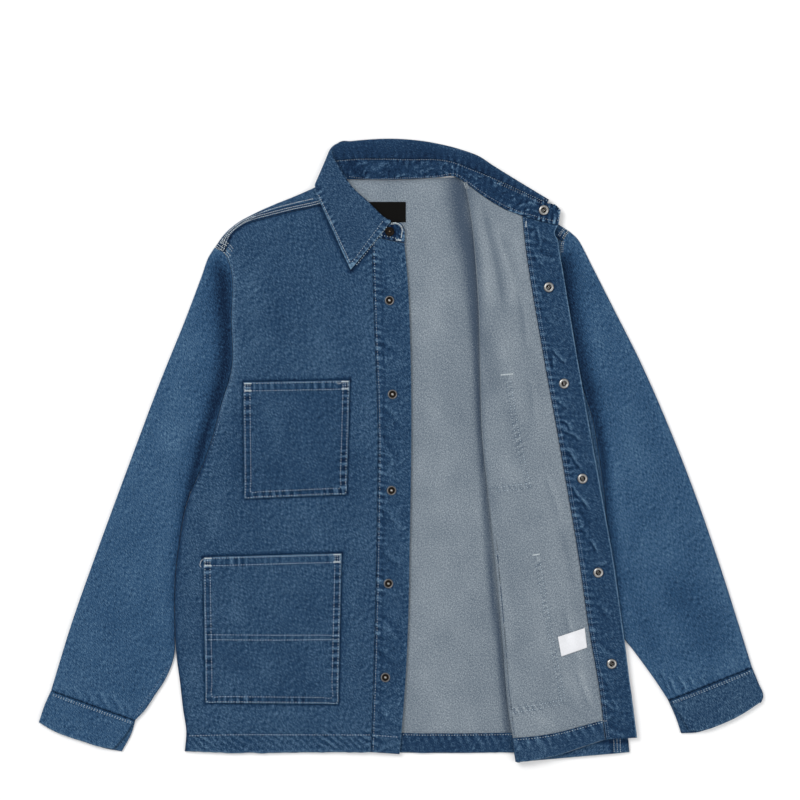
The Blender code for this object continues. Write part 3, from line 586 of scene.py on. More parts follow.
def tapeFinish(name, colour, rough, weft):
    # woven label tape: close crosswise ribs
    material, tree, shader = newMaterial(name)
    uv = addNode(tree, "ShaderNodeUVMap", uv_map="weave").outputs["UV"]
    ribs = noiseOn(tree, uv, weft, 0, 1.0)
    cloud = noiseOn(tree, uv, (90, 60), 0, 2.0)
    tone = addNode(tree, "ShaderNodeAttribute", attribute_name="tone").outputs["Fac"]
    fac = maths(tree, "ADD", maths(tree, "MULTIPLY", ribs, 0.6), maths(tree, "MULTIPLY", cloud, 0.4))
    fac = maths(tree, "MULTIPLY_ADD", tone, 0.5, fac)
    colours = addNode(tree, "ShaderNodeValToRGB")
    stops = colours.color_ramp.elements
    stops[0].position, stops[0].color = 0.0, (*[c * 0.72 for c in colour], 1)
    stops[1].position, stops[1].color = 1.0, (*[min(1, c * 1.2) for c in colour], 1)
    tree.links.new(fac, colours.inputs["Fac"])
    tree.links.new(colours.outputs["Color"], shader.inputs["Base Color"])
    shader.inputs["Roughness"].default_value = rough
    shader.inputs["Specular IOR Level"].default_value = 0.05
    bumpNode = addNode(tree, "ShaderNodeBump")
    bumpNode.inputs["Strength"].default_value = 0.2
    bumpNode.inputs["Distance"].default_value = 0.0003
    tree.links.new(ribs, bumpNode.inputs["Height"])
    tree.links.new(bumpNode.outputs["Normal"], shader.inputs["Normal"])
    return material


blackTape = tapeFinish("blackTape", (0.0048, 0.0044, 0.0040), 0.8, (300, 2600))
whiteTape = tapeFinish("whiteTape", (0.76, 0.77, 0.80), 0.5, (2600, 300))

# the body's outlines, shared by the panels that meet on them

body = {
    "rightShoulderFold": [(-101.5, 346.5), (-111, 342), (-138.5, 330), (-166, 319), (-192, 307), (-213, 295),
        (-228, 282), (-240.5, 265)],
    "rightShoulderSeam": [(-82.5, 325.2), (-111, 317), (-140, 311), (-168, 304), (-203.5, 292.5), (-218, 281),
        (-228, 257.5)],
    "rightArmhole": [(-228, 257.5), (-221.5, 242), (-219, 169), (-219, 105), (-232, 60), (-245, 13), (-259.5, -26),
        (-272.5, -54.5)],
    "rightSide": [(-272.5, -54.5), (-280, -79), (-286.5, -118), (-292, -162.5), (-293, -208), (-290.5, -270),
        (-286.5, -299), (-282, -338), (-278, -366), (-280, -391.5)],
    "leftShoulderFold": [(82.5, 356), (131, 333), (183, 308), (218, 287)],
    "leftShoulderSeam": [(87.5, 346.5), (131, 320.5), (176, 297.5), (210.5, 271.5)],
    "leftArmhole": [(210.5, 271.5), (208.5, 244.5), (212.5, 195), (223, 130), (238.5, 78), (250, 43), (257, 6.5),
        (262, -28.5), (266.5, -65), (268.5, -97.5)],
    "leftSide": [(268.5, -97.5), (271, -123.5), (276.5, -170), (282, -220), (286, -260), (290, -312), (297, -377),
        (298.5, -392.5)],
    "rightSpans": (9, 9),
    "leftSpans": (10, 8),
}


def bodyLine(side, fine):
    # armhole then side seam, `fine` rows to each of the solid's spans
    spans = body[side + "Spans"]
    return np.concatenate([even(body[side + "Armhole"], spans[0] * fine + 1),
        even(body[side + "Side"], spans[1] * fine + 1)[1:]])


def hemLift(plan):
    x, y = plan[..., 0], plan[..., 1]
    return 1.2 * ramp(-y, 328, 350) * ramp(x, -280, -268) * ramp(-x, -298, -280)


def waveHem(plan, seed, deep=14.0, swing=0.9):
    # lets a hem's lower edge wander a little, dying out up the cloth
    low = plan[:1, ..., 1]
    share = np.exp(-np.clip(plan[..., 1] - low, 0, None) / deep) * ramp(np.arange(plan.shape[1]), 0,
        5) * ramp(np.arange(plan.shape[1])[::-1], 0, 5)
    wander = swing * (0.7 * lineNoise(plan[:1, ..., 0], 19, seed) + 0.5 * lineNoise(plan[:1, ..., 0], 7, seed + 1))
    found = plan.copy()
    found[..., 1] += share * wander
    return found


def backHeight(plan):
    return cloth["backZ"] + 3.3 * bump(plan, (-97.0, 349.0), 25.0)


def frontHeight(plan):
    return cloth["frontZ"] + 6.1 * bump(plan, (-97.0, 349.0), 45.0) + 1.3 * ramp(plan[..., 0], -120,
        -45) + hemLift(plan)


def shoulderStrip(foldLine, seam, lowZ, highZ, turns=8, flats=10):
    # the back's cloth carried over a shoulder fold and flat to the forward seam
    across = seam - foldLine
    across = across / np.linalg.norm(across, axis=1)[:, None]
    radius = (highZ - lowZ) / 2
    centre = foldLine + (radius + 0.6)[:, None] * across
    rows = []
    for angle in np.linspace(-90, 90, turns + 1):
        out, rise = radius * math.cos(math.radians(angle)), radius * math.sin(math.radians(angle))
        rows.append(withHeight(centre - out[:, None] * across, (lowZ + highZ) / 2 + rise))
    for share in np.linspace(0, 1, flats + 1)[1:]:
        rows.append(withHeight(centre + share * (seam - centre), highZ))
    return np.array(rows)


# back

back = {
    "neck": [(-97, 349.5), (-94, 350.7), (-71, 352.2), (-45, 352), (0.7, 352), (47.5, 354.4), (66, 355.5),
        (82.5, 356)],
    "hem": [(-280, -391.5), (-220, -393), (-37, -393), (66, -394), (151, -393), (298.5, -392.5)],
    "fine": 9,  # rows to each of the solid's spans
    "shoulderColumns": 64,
    "neckColumns": 56,
    "leftColumns": 36,
    # the inside shows between the fronts: slow creases down from the neck
    "folds": [
        (spot([(425, 235), (428, 330), (436, 450)]), 16, 0.35, 0.10),
        (spot([(452, 260), (450, 380), (462, 520)]), 14, -0.3, -0.08),
        (spot([(420, 470), (428, 600), (424, 720)]), 18, 0.3, 0.06),
        (spot([(468, 560), (474, 650), (470, 735)]), 14, -0.3, -0.07),
    ],
}


def rollShade(plan):
    # painted shadow beside the open front's roll: broad at the neck, a hand's width down it narrows to a line
    line = run(spot([(459, 180), (461, 215), (469, 250), (473.5, 300), (476, 360), (479.5, 430), (485, 500),
        (491, 580), (501, 660), (506, 715), (509, 750)]))
    distance, along, length = besideLine(plan, line, 60)
    width = 4.6 + 9.5 * ramp(plan[..., 1], 110, 300)
    return 0.95 * np.exp(-(np.abs(distance / width) ** 1.8)) + 0.16 * np.exp(-((distance / 22) ** 2)) * ramp(plan[..., 1], -60, 120)


def buildBack():
    rightFold = even(body["rightShoulderFold"], back["shoulderColumns"] + 1)
    rightSeam = moved(even(body["rightShoulderSeam"], back["shoulderColumns"] + 1), -1.3 * cloth["gap"])
    leftFold = even(body["leftShoulderFold"], back["leftColumns"] + 1)
    leftSeam = moved(even(body["leftShoulderSeam"], back["leftColumns"] + 1), 2 * cloth["gap"])
    rightStrip = shoulderStrip(rightFold, rightSeam, backHeight(rightFold), frontHeight(rightSeam), 8, 16)
    leftStrip = shoulderStrip(leftFold, leftSeam, backHeight(leftFold), cloth["frontZ"] + 0 * leftFold[:, 0], 6, 5)
    neck = even(back["neck"], back["neckColumns"] + 1)
    top = np.concatenate([rightStrip[0, ::-1, :2], neck[1:-1], leftStrip[0, :, :2]])
    hem = smooth(back["hem"], chords(top))
    right = np.concatenate([bodyLine("right", back["fine"])[::-1], top[:1]])
    left = np.concatenate([bodyLine("left", back["fine"])[::-1], top[-1:]])
    panel = patch(hem, top, right, left)
    panel = withHeight(panel, backHeight(panel))
    height, tone = relief(panel, folds=back["folds"], waves=0.3, seed=3)
    # painted shadow of the open front's roll on the back's inside
    tone = tone - rollShade(panel)
    edge = np.minimum(ramp(panel[..., 1] - hem[:, 1].mean(), 0, 20), ramp(top[:, 1][None] - panel[..., 1], 0, 12))
    panel = lift(panel, np.maximum(height * 0.8, -0.05) * edge)
    panel[-1, : back["shoulderColumns"] + 1] = rightStrip[0, ::-1]
    panel[-1, -back["leftColumns"] - 1 :] = leftStrip[0]
    strips, tones = [], []
    for strip, seam, seed in ((rightStrip[:, ::-1], rightSeam[::-1], 11), (leftStrip, leftSeam, 13)):
        sign = 1 if seed == 11 else -1
        look = {"inner": 0.5, "outer": 7.0, "fade": 4.0, "wave": 5.5, "height": 0.28, "tone": 0.6, "slant": 0.5}
        line = seam if sign == 1 else seam[::-1]
        height, toneHere = relief(strip, ropes=[(line, look)], waves=0.15, seed=seed)
        distance, along, length = besideLine(strip, line, 30)
        band = ramp(-np.abs(np.abs(distance) - 3.6), -4.2, -3.2)  # the felled band stands a ply higher
        flat = ramp(np.arange(len(strip)), 8 if sign == 1 else 6, 12 if sign == 1 else 8)[:, None]
        strip = lift(strip, (height + 0.55 * band) * flat)
        strips.append(strip)
        # painted shade: a dark line along the shoulder seam, and the strip's end darker in the armhole crease
        end = bump(strip, spot((221, 247)), 11)
        tones.append(toneHere * flat - 0.38 * band * flat - 0.35 * np.exp(-((distance / 0.9) ** 2)) - 0.5 * end)
    layers = [layer(panel, tone, planWeave(panel))]
    layers += [layer(strip, t, planWeave(strip)) for strip, t in zip(strips, tones)]
    carry("backInside", layers[0], cloth["ply"])
    carry("backOutside", layers[0], cloth["ply"], -1)
    carry("rightYoke", layers[1][8:], cloth["ply"])
    carry("leftYoke", layers[2][6:], cloth["ply"])
    # first finish is the grey inside: up on the panel, down where the strips have turned over
    clothPiece("backCloth", layers, [(0.5, 0.5, 1), (0.9, 0.5, -1), (0.9, 0.5, -1)], cloth["ply"],
        [denimInside, denimOutside], "back")


backHem = {"depth": 25.0, "columns": 240, "rows": 12}


def buildBackHem():
    edge = smooth(back["hem"], np.linspace(0.035, 0.955, backHem["columns"])) + (0, 0.6)
    shares = spread(backHem["rows"] + 1, 0.6)
    band = edge[None] + np.stack([0 * shares, shares * backHem["depth"]], axis=1)[:, None]
    band = withHeight(waveHem(band, 9), cloth["backZ"] + cloth["step"])
    topLine = edge + (0, backHem["depth"] - 2.2)
    look = {"inner": -3, "outer": 1.5, "fade": 11.0, "wave": 11.5, "height": 0.26, "tone": 0.46, "slant": 0.5}
    height, tone = relief(band, ropes=[(topLine[::6], look)], grooves=[(topLine[::6], 1.1, -0.15, -0.25)],
        creases=[dict(placketCreases[0], turn=-62, tone=0.5)], waves=0.12, seed=21)
    band = lift(band, height)
    grid = layer(band, tone - 0.14 + 0.5 * np.exp(-((np.arange(len(band)) / 0.7) ** 2))[:, None], planWeave(band))
    carry("backHem", grid, cloth["ply"])
    clothPiece("backHemCloth", [grid], [(0.5, 0.5, 1)], cloth["ply"], [denimCollar], "back_hem")


# right front

collarRows = [
    # neck, stand top, roll, leaf edge (x, y each), heights of neck, stand and leaf, fall, turn
    (5.9, 270.4, 5.9, 287.5, 0, 0, 0, 0, 3.7, 3.7, 0, 0, 0),
    (0.7, 271.2, 1.3, 295, 0, 0, 0, 0, 3.7, 3.7, 0, 0, 0),
    (-12.3, 273.7, -11.1, 295.8, -13, 299.7, -64, 235, 3.7, 3.7, 5.8, 2.8, 0),
    (-29.2, 278.2, -20.7, 298.4, -18.5, 302.2, -71, 249.6, 3.8, 3.8, 5.6, 2.8, 0),
    (-59, 303, -45, 321.4, -42.2, 324.4, -86.5, 284.7, 4.6, 4.6, 6.6, 2.9, 0),
    (-82.5, 326.3, -67.6, 343.2, -64.4, 345.8, -100, 314.6, 7.4, 7.4, 8.9, 3.0, 0),
    (-94.2, 341.5, -80.2, 361.9, -76.7, 365.3, -106, 329.6, 8.6, 8.6, 10.4, 2.8, 0),
    (-98.4, 346.8, -87, 372.5, -86, 381.5, -107.9, 340.6, 8.0, 8.0, 10.0, 2.8, 45),
    (-99.4, 349.1, -91, 374.4, -88.4, 390, -105.3, 348.5, 6.3, 6.3, 6.3, 2.8, 90),
    (-98.4, 350.6, -89.7, 375.7, -86, 395.2, -98.8, 358.5, 4.6, 4.6, 2.6, 2.8, 135),
    (-94, 351.4, -84.5, 376.4, -80.6, 399.8, -90.4, 363.5, 4.1, 4.1, 1.3, 2.8, 180),
    (-71, 352.8, -65.7, 378.3, -63, 402.6, -67, 364.5, 1.8, 4.1, 1.3, 2.8, 180),
    (-45, 352.6, -43.6, 378.9, -38.7, 404.8, -41, 364.5, 1.2, 4.1, 1.3, 2.8, 180),
    (0.7, 352.6, 0.7, 378.9, 2, 405.3, 0.7, 364.5, 1.2, 4.1, 1.3, 2.8, 180),
    (47.5, 355.1, 48.8, 377.7, 48.8, 399.4, 47.5, 364.5, 1.4, 4.1, 1.3, 2.8, 180),
    (71, 356.5, 72.8, 374, 76, 392.6, 72.2, 365, 2.8, 4.8, 2.0, 2.8, 180),
    (85.2, 348.4, 91.7, 366.6, 99.5, 384.2, 88, 357, 7.3, 7.3, 4.5, 2.8, 180),
    (104.7, 333.4, 113.8, 357.2, 121, 370.5, 97, 320, 8.2, 8.2, 4.7, 3.0, 180),
    (137.2, 313.3, 146.2, 341.9, 152, 351.3, 125.5, 299.7, 8.5, 8.5, 4.7, 3.6, 180),
    (176.2, 299.9, 182.7, 325, 186, 330.7, 154, 264, 8.8, 8.8, 4.6, 4.2, 180),
    (184, 297.7, 191, 321.4, 193.7, 326, 155.3, 257.4, 8.8, 8.8, 4.6, 4.2, 180),
    (198.2, 294.4, 202.8, 318.5, 0, 0, 0, 0, 8.8, 8.8, 0, 0, 180),
    (205.4, 292.8, 208.4, 312, 0, 0, 0, 0, 8.8, 8.8, 0, 0, 180),
]


def neckLine(start, end, count):
    # a front's edge just under the collar's neck seam
    curve = byRows(collarRows, 2)[:, :2]
    half = curve[:17] if start < 0 else curve[30:]
    half = half[np.argsort(half[:, 0])]
    across = np.linspace(start, end, count)
    line = np.stack([across, np.interp(across, half[:, 0], half[:, 1])], axis=1)
    return moved(line, -2.5 * cloth["gap"])


leaf = {
    "innerFront": [(350.4, 263.6), (384.6, 217.8)],
    "outerFront": [(354.6, 266.4), (388.8, 223.8)],
    "innerSide": [(350.4, 263.6), (316.3, 190.5)],
    "edgeSide": [(314.2, 193), (325, 217), (337, 243), (350.0, 270.2)],
    "edgeFront": [(351.4, 270.6), (367, 251), (389.5, 223.6)],
}


rightFront = {
    "hem": [(-280, -391.5), (-220, -393.2), (-129, -393.2), (-37.5, -392)],
    "band": [(-37.5, -392), (-35, -317), (-30.5, -143), (-29, 45.5), (-33, 156), (-36.5, 273)],
    "edge": [(-0.7, -394.5), (3.2, -352), (9.8, -247), (12.3, -143), (13.7, 130), (11, 205), (5.9, 269.8)],
    "fine": 18,
    "shoulderColumns": 64,
    "neckColumns": 36,
    "placketColumns": 32,
    "hemStitch": [(188, 735.5), (230, 734.5), (300, 734.5), (370, 734.5)],
    "folds": [
        (spot([(243, 262), (252, 330), (250, 372)]), 10, 0.5, 0.10),
        (spot([(262, 250), (275, 300), (282, 360)]), 12, -0.35, -0.08),
        (spot([(318, 262), (316, 310), (322, 368)]), 12, 0.35, 0.08),
        (spot([(236, 395), (238, 440), (233, 500)]), 9, -0.45, -0.14),
        (spot([(222, 470), (214, 520), (208, 550)]), 9, 0.45, 0.10),
        (spot([(300, 505), (312, 525), (320, 545)]), 9, 0.3, 0.08),
        (spot([(240, 510), (252, 530), (262, 548)]), 9, -0.3, -0.09),
        (spot([(190, 560), (192, 620), (190, 700)]), 8, 0.4, 0.08),
        (spot([(352, 400), (355, 480), (352, 540)]), 6, -0.3, -0.10),
        (spot([(350, 560), (352, 640), (350, 700)]), 7, 0.3, 0.08),
    ],
}


def rightFrontPlan(fine, shoulderColumns, neckColumns):
    seam = even(body["rightShoulderSeam"], shoulderColumns + 1)[::-1]
    neck = neckLine(-82, -36.5, neckColumns + 1)
    top = np.concatenate([seam, neck[1:]])
    left = bodyLine("right", fine)[::-1]
    right = even(rightFront["band"][:-1] + [tuple(top[-1])], len(left))
    return patch(smooth(rightFront["hem"], chords(top)), top, left, right)


def buildRightFront():
    plan = rightFrontPlan(rightFront["fine"], rightFront["shoulderColumns"], rightFront["neckColumns"])
    panel = withHeight(waveHem(plan, 5), frontHeight(plan))
    pocketLook = {"inner": -1, "outer": 1.5, "fade": 3.0, "wave": 9.2, "height": 0.15, "tone": 0.16, "slant": 0.1}
    chest = pocketOutline("chest", -2)
    lower = pocketOutline("lower", -2)
    hemLine = run(spot(rightFront["hemStitch"]))
    hemLook = {"inner": -12, "outer": 0.5, "fade": 7.0, "wave": 12.0, "height": 0.36, "tone": 0.62, "slant": 1.3}
    bandLine = np.array(plan[::8, -1])
    bandLook = {"inner": -1, "outer": 3, "fade": 5.0, "wave": 8.5, "height": 0.2, "tone": 0.25, "slant": 0.5}
    armLine = bodyLine("right", 1)[:10]
    armLook = {"inner": -2, "outer": 5, "fade": 4, "wave": 6, "height": 0.2, "tone": 0.42, "slant": 0.3}
    shoulderLine = even(body["rightShoulderSeam"], 20)
    shoulderLook = {"inner": -1, "outer": 1, "fade": 4.5, "wave": 6, "height": 0.2, "tone": 0.35, "slant": 0.3}
    height, tone = relief(
        panel,
        ropes=[(chest, pocketLook), (lower, pocketLook), (hemLine, hemLook), (bandLine, bandLook),
            (armLine, armLook), (shoulderLine, shoulderLook)],
        # painted shadow just outside the pockets' sides and bottoms and above their mouths; the hem line is a dent
        # with painted shade
        grooves=[(hemLine, 1.2, -0.25, -0.22), (pocketOutline("chest", -0.7), 1.7, 0, -0.8),
            (pocketOutline("lower", -0.7), 1.7, 0, -0.8), (pocketTop("chest"), 2.4, 0, -0.9),
            (pocketTop("lower"), 2.4, 0, -0.9)],
        folds=rightFront["folds"],
        waves=0.4,
        seed=31,
    )
    distance, along, length = besideLine(panel, bodyLine("right", 1), 30)
    # the edge rolls over the armhole: a painted highlight on the roll, its very edge pale with wear; lower down,
    # painted shade in a soft dark crease
    edge = np.abs(distance)
    tone = tone + (0.22 * np.exp(-((edge / 9) ** 2)) + 0.14 * np.exp(-((edge / 1.6) ** 2))) * ramp(panel[..., 1],
        20, 80)
    tone = tone - 0.42 * np.exp(-((edge / 3.2) ** 2)) * ramp(-panel[..., 1], -60, 10)
    # painted shade: a dark line along the shoulder seam
    distance, along, length = besideLine(panel, shoulderLine, 20)
    tone = tone - 0.75 * np.exp(-((distance / 1.5) ** 2))
    # painted shadow on the front under the collar leaf's edges
    for line in (leaf["edgeSide"], leaf["edgeFront"]):
        distance, along, length = besideLine(panel, run(spot(line)), 20)
        tone = tone - 0.62 * np.exp(-((distance / 3.0) ** 2))
    tone = tone + 0.55 * np.exp(-((np.arange(len(panel)) / 0.8) ** 2))[:, None]
    settle = edgeSettle(panel.shape[:2], 2)
    panel = lift(panel, (np.maximum(height, -0.3)) * settle)
    grid = layer(panel, tone, planWeave(panel))
    carry("rightFront", grid, cloth["ply"])
    clothPiece("rightFrontCloth", [grid], [(0.5, 0.5, 1)], cloth["ply"], [denimOutside], "right_front")
    return plan


def edgeSettle(shape, count):
    # 0 on a grid's rim and 1 a few lines in, so that neighbours still meet
    rows = np.minimum(np.arange(shape[0]), np.arange(shape[0])[::-1])
    columns = np.minimum(np.arange(shape[1]), np.arange(shape[1])[::-1])
    return np.minimum(ramp(rows, -1, count)[:, None], ramp(columns, -1, count)[None])


def eased(table, row, target, span):
    # the table with one end row brought to its target, the change dying out over `span` rows
    away = np.abs(np.arange(len(table)) - row % len(table))
    share = np.clip(1 - away / span, 0, 1).reshape(-1, *[1] * (table.ndim - 1))
    return table + share * (np.asarray(target) - table[row])


def placketPlan(seam, edge, columns, spacing=0.35):
    # from a front's edge to the centre front line, ending under the collar's neck seam
    inner = seam + (cloth["gap"], 0)
    outer = even(edge, len(inner))
    neck = neckLine(inner[-1, 0], outer[-1, 0], columns + 1)
    inner = eased(inner, -1, (inner[-1, 0], neck[0, 1]), 18)
    outer = eased(outer, -1, neck[-1], 18)
    neck[0] = inner[-1]
    across = spread(columns + 1, spacing)
    neck = np.stack([np.interp(across, np.linspace(0, 1, columns + 1), neck[:, i]) for i in (0, 1)], axis=1)
    low = inner[0] + across[:, None] * (outer[0] - inner[0])
    return patch(low, neck, inner, outer, across=across)


placketCreases = [
    {"long": 24, "across": 8, "turn": -42, "thin": 0.30, "patch": 24, "from": -0.5, "height": 0.45, "tone": 0.70},
    {"long": 13, "across": 6, "turn": -62, "thin": 0.22, "patch": 19, "from": -0.2, "height": 0.30, "tone": 0.60},
]


def placketRelief(plan, inner, outer, seed, strength=1.0):
    # both edges are topstitched, so both pucker
    innerLook = {"inner": -1, "outer": 4.5, "fade": 7.0, "wave": 9.5, "height": 0.34 * strength,
        "tone": 0.66 * strength, "slant": -0.25}
    outerLook = {"inner": -1.5, "outer": 2, "fade": 4.5, "wave": 7.0, "height": 0.20 * strength,
        "tone": 0.28 * strength, "slant": 0.5}
    return [(inner, innerLook), (outer, outerLook)]


rightPlacket = {
    "folds": [
        (spot([(376, 330), (390, 345), (402, 352)]), 3.2, 0.35, 0.30),
        (spot([(380, 402), (392, 412), (404, 428)]), 3.0, 0.35, 0.32),
        (spot([(378, 425), (388, 446), (400, 462)]), 3.0, -0.3, -0.28),
        (spot([(380, 505), (391, 515), (402, 530)]), 3.2, 0.35, 0.30),
        (spot([(379, 540), (390, 556), (404, 566)]), 3.0, 0.35, 0.30),
        (spot([(377, 612), (389, 622), (402, 640)]), 3.2, -0.3, -0.28),
        (spot([(376, 640), (388, 655), (400, 662)]), 3.2, 0.35, 0.30),
        (spot([(376, 700), (386, 715), (398, 722)]), 3.2, 0.35, 0.26),
    ],
}


def buildRightPlacket(frontPlan):
    plan = placketPlan(frontPlan[:, -1].copy(), rightFront["edge"], rightFront["placketColumns"])
    band = withHeight(plan, frontHeight(plan))
    inner, outer = plan[::8, 2], plan[::8, -3]
    height, tone = relief(
        band,
        ropes=placketRelief(band, inner, outer, 41, 1.05),
        grooves=[(inner, 1.0, -0.2, -0.25), (run(spot([(381, 260), (383.5, 420), (382.5, 560), (379, 745)])), 2.0,
            -0.25, -0.22)],
        folds=rightPlacket["folds"],
        creases=[dict(look, tone=0.8 * look["tone"], height=0.8 * look["height"]) for look in placketCreases],
        waves=0.25,
        seed=41,
    )
    tone = tone - 0.10
    # painted shade along the placket's seam with the front
    tone[:, 0] -= 0.5
    tone[:, -1] += 0.45  # the folded edge is worn pale
    band = lift(band, np.maximum(height, -0.3) * edgeSettle(band.shape[:2], 2) + 0.1)
    grid = layer(band, tone, planWeave(band))
    carry("rightPlacket", grid, cloth["doublePly"])
    clothPiece("rightPlacketCloth", [grid], [(0.5, 0.5, 1)], cloth["doublePly"], [denimOutside], "right_placket")


# left front, turned open

leftFront = {
    # fold x, y; placket seam x, y; heights at the roll and at the placket
    "rows": [
        (84, 347, 159, 300.5, 7.8, 8.8),
        (88, 327.5, 161, 282, 8.4, 8.6),
        (93, 296.5, 164.5, 253.5, 8.8, 8.2),
        (98, 244.5, 171, 212, 9.2, 7.0),
        (102, 182, 179.5, 162.5, 9.2, 6.2),
        (104, 95, 190.5, 100, 9.2, 6.0),
        (106.5, 19.5, 203.5, 28.5, 9.3, 6.0),
        (114, -54.5, 216, -43, 9.3, 6.0),
        (124, -149.5, 231.5, -134, 9.3, 6.0),
        (133, -247, 245.5, -231.5, 9.3, 6.0),
        (141, -339.5, 260.5, -320, 9.3, 6.0),
        (147.5, -379.5, 264.5, -356, 9.4, 6.0),
        (151.5, -405, 267, -375.5, 9.6, 6.0),
    ],
    "hem": [(151.5, -405), (190, -399), (267, -375.5)],
    "edge": [(308, -373), (300, -312), (291.5, -245), (286, -205), (277.2, -143), (269, -96), (244, 43), (231, 117),
        (216, 207), (211, 237), (207.3, 257.5), (204.8, 273), (200.8, 282), (205, 292)],
    "fine": 18,
    "lowColumns": 26,
    "rollColumns": 16,
    "highColumns": 48,
    "folds": [
        (spot([(471, 190), (477, 222), (484, 262), (490, 320)]), 6.0, 0.3, 0.22, 0.3),
        (spot([(480, 194), (487, 225), (497, 268), (504, 320)]), 5.0, -0.3, -0.52, 0.3),
        (spot([(487, 206), (497, 236), (508, 268), (514, 320)]), 6.0, 0.3, 0.20, 0.3),
        (spot([(498, 226), (506, 250), (514, 276)]), 4.5, -0.25, -0.26, 0.3),
        (spot([(512, 228), (518, 250), (522, 284)]), 4.5, 0.25, 0.16, 0.3),
        (spot([(484, 320), (489, 360), (496, 400)]), 11, -0.45, -0.36),
        (spot([(500, 330), (508, 370), (516, 420)]), 9, 0.4, 0.14),
        (spot([(506, 395), (512, 432), (516, 470)]), 8, -0.35, -0.22),
        (spot([(488, 480), (494, 505), (500, 540)]), 6, -0.3, -0.24),
        (spot([(512, 250), (522, 330), (530, 380)]), 8, -0.35, -0.08),
        (spot([(530, 420), (545, 500), (556, 560)]), 9, 0.35, 0.09),
        (spot([(500, 520), (512, 600), (524, 690)]), 11, -0.35, -0.08),
        (spot([(560, 560), (572, 620), (580, 700)]), 7, 0.3, 0.08),
        (spot([(525, 715), (548, 722), (566, 728)]), 6, 0.3, 0.08),
        # soft pulls beside the placket
        (spot([(520, 285), (526, 320), (529, 352)]), 3.4, 0.3, 0.20),
        (spot([(530, 372), (535, 400), (536, 424)]), 3.2, 0.3, 0.18),
        (spot([(546, 470), (554, 492), (562, 520)]), 3.6, 0.3, 0.20),
        (spot([(556, 520), (566, 552), (572, 590)]), 4.5, -0.3, -0.14),
        (spot([(566, 600), (574, 640), (582, 668)]), 3.6, 0.3, 0.20),
        (spot([(577, 664), (586, 690), (594, 712)]), 3.4, 0.35, 0.24),
        (spot([(560, 690), (572, 708), (590, 722)]), 4.5, -0.3, -0.14),
        (spot([(500, 560), (506, 610), (512, 660)]), 5.0, 0.3, 0.12),
    ],
}


def leftFrontGrid(fine, lowColumns, rollColumns, highColumns):
    side = bodyLine("left", fine)[::-1]
    table = even(leftFront["rows"][::-1], len(side))
    foldLine, band, rollZ, bandZ = table[:, 0:2], table[:, 2:4], table[:, 4], table[:, 5]
    lowZ = cloth["frontZ"] + hemLift(foldLine)
    radius = (rollZ - lowZ) / 2
    centre = foldLine + np.stack([radius + 0.6, 0 * radius], axis=1)
    low = np.linspace(side, centre, lowColumns + 1, axis=1)
    low = eased(low, -1, even(body["leftShoulderSeam"][::-1], lowColumns + 1), fine)
    centre = low[:, -1].copy()
    low = withHeight(low, cloth["frontZ"] + hemLift(low))
    low[:, -1, 2] = lowZ
    neck = neckLine(centre[-1, 0], band[-1, 0], highColumns + 1)
    hem = even(leftFront["hem"], highColumns + 1)
    hem[0, 0] = centre[0, 0]
    roll = []
    for angle in np.linspace(-90, 90, rollColumns + 1)[1:-1]:
        out, rise = radius * math.cos(math.radians(angle)), radius * math.sin(math.radians(angle))
        roll.append(withHeight(centre - np.stack([out, 0 * out], axis=1), (lowZ + rollZ) / 2 + rise))
    centre = eased(eased(centre, -1, neck[0], fine), 0, hem[0], fine)
    band = eased(eased(band, -1, neck[-1], fine), 0, hem[-1], fine)
    share = ramp(np.linspace(0, 1, highColumns + 1), 0, 1)[None]
    height = rollZ[:, None] * (1 - share) + bandZ[:, None] * share
    high = withHeight(patch(hem, neck, centre, band), height)
    return np.concatenate([low, np.array(roll).transpose(1, 0, 2), high], axis=1)


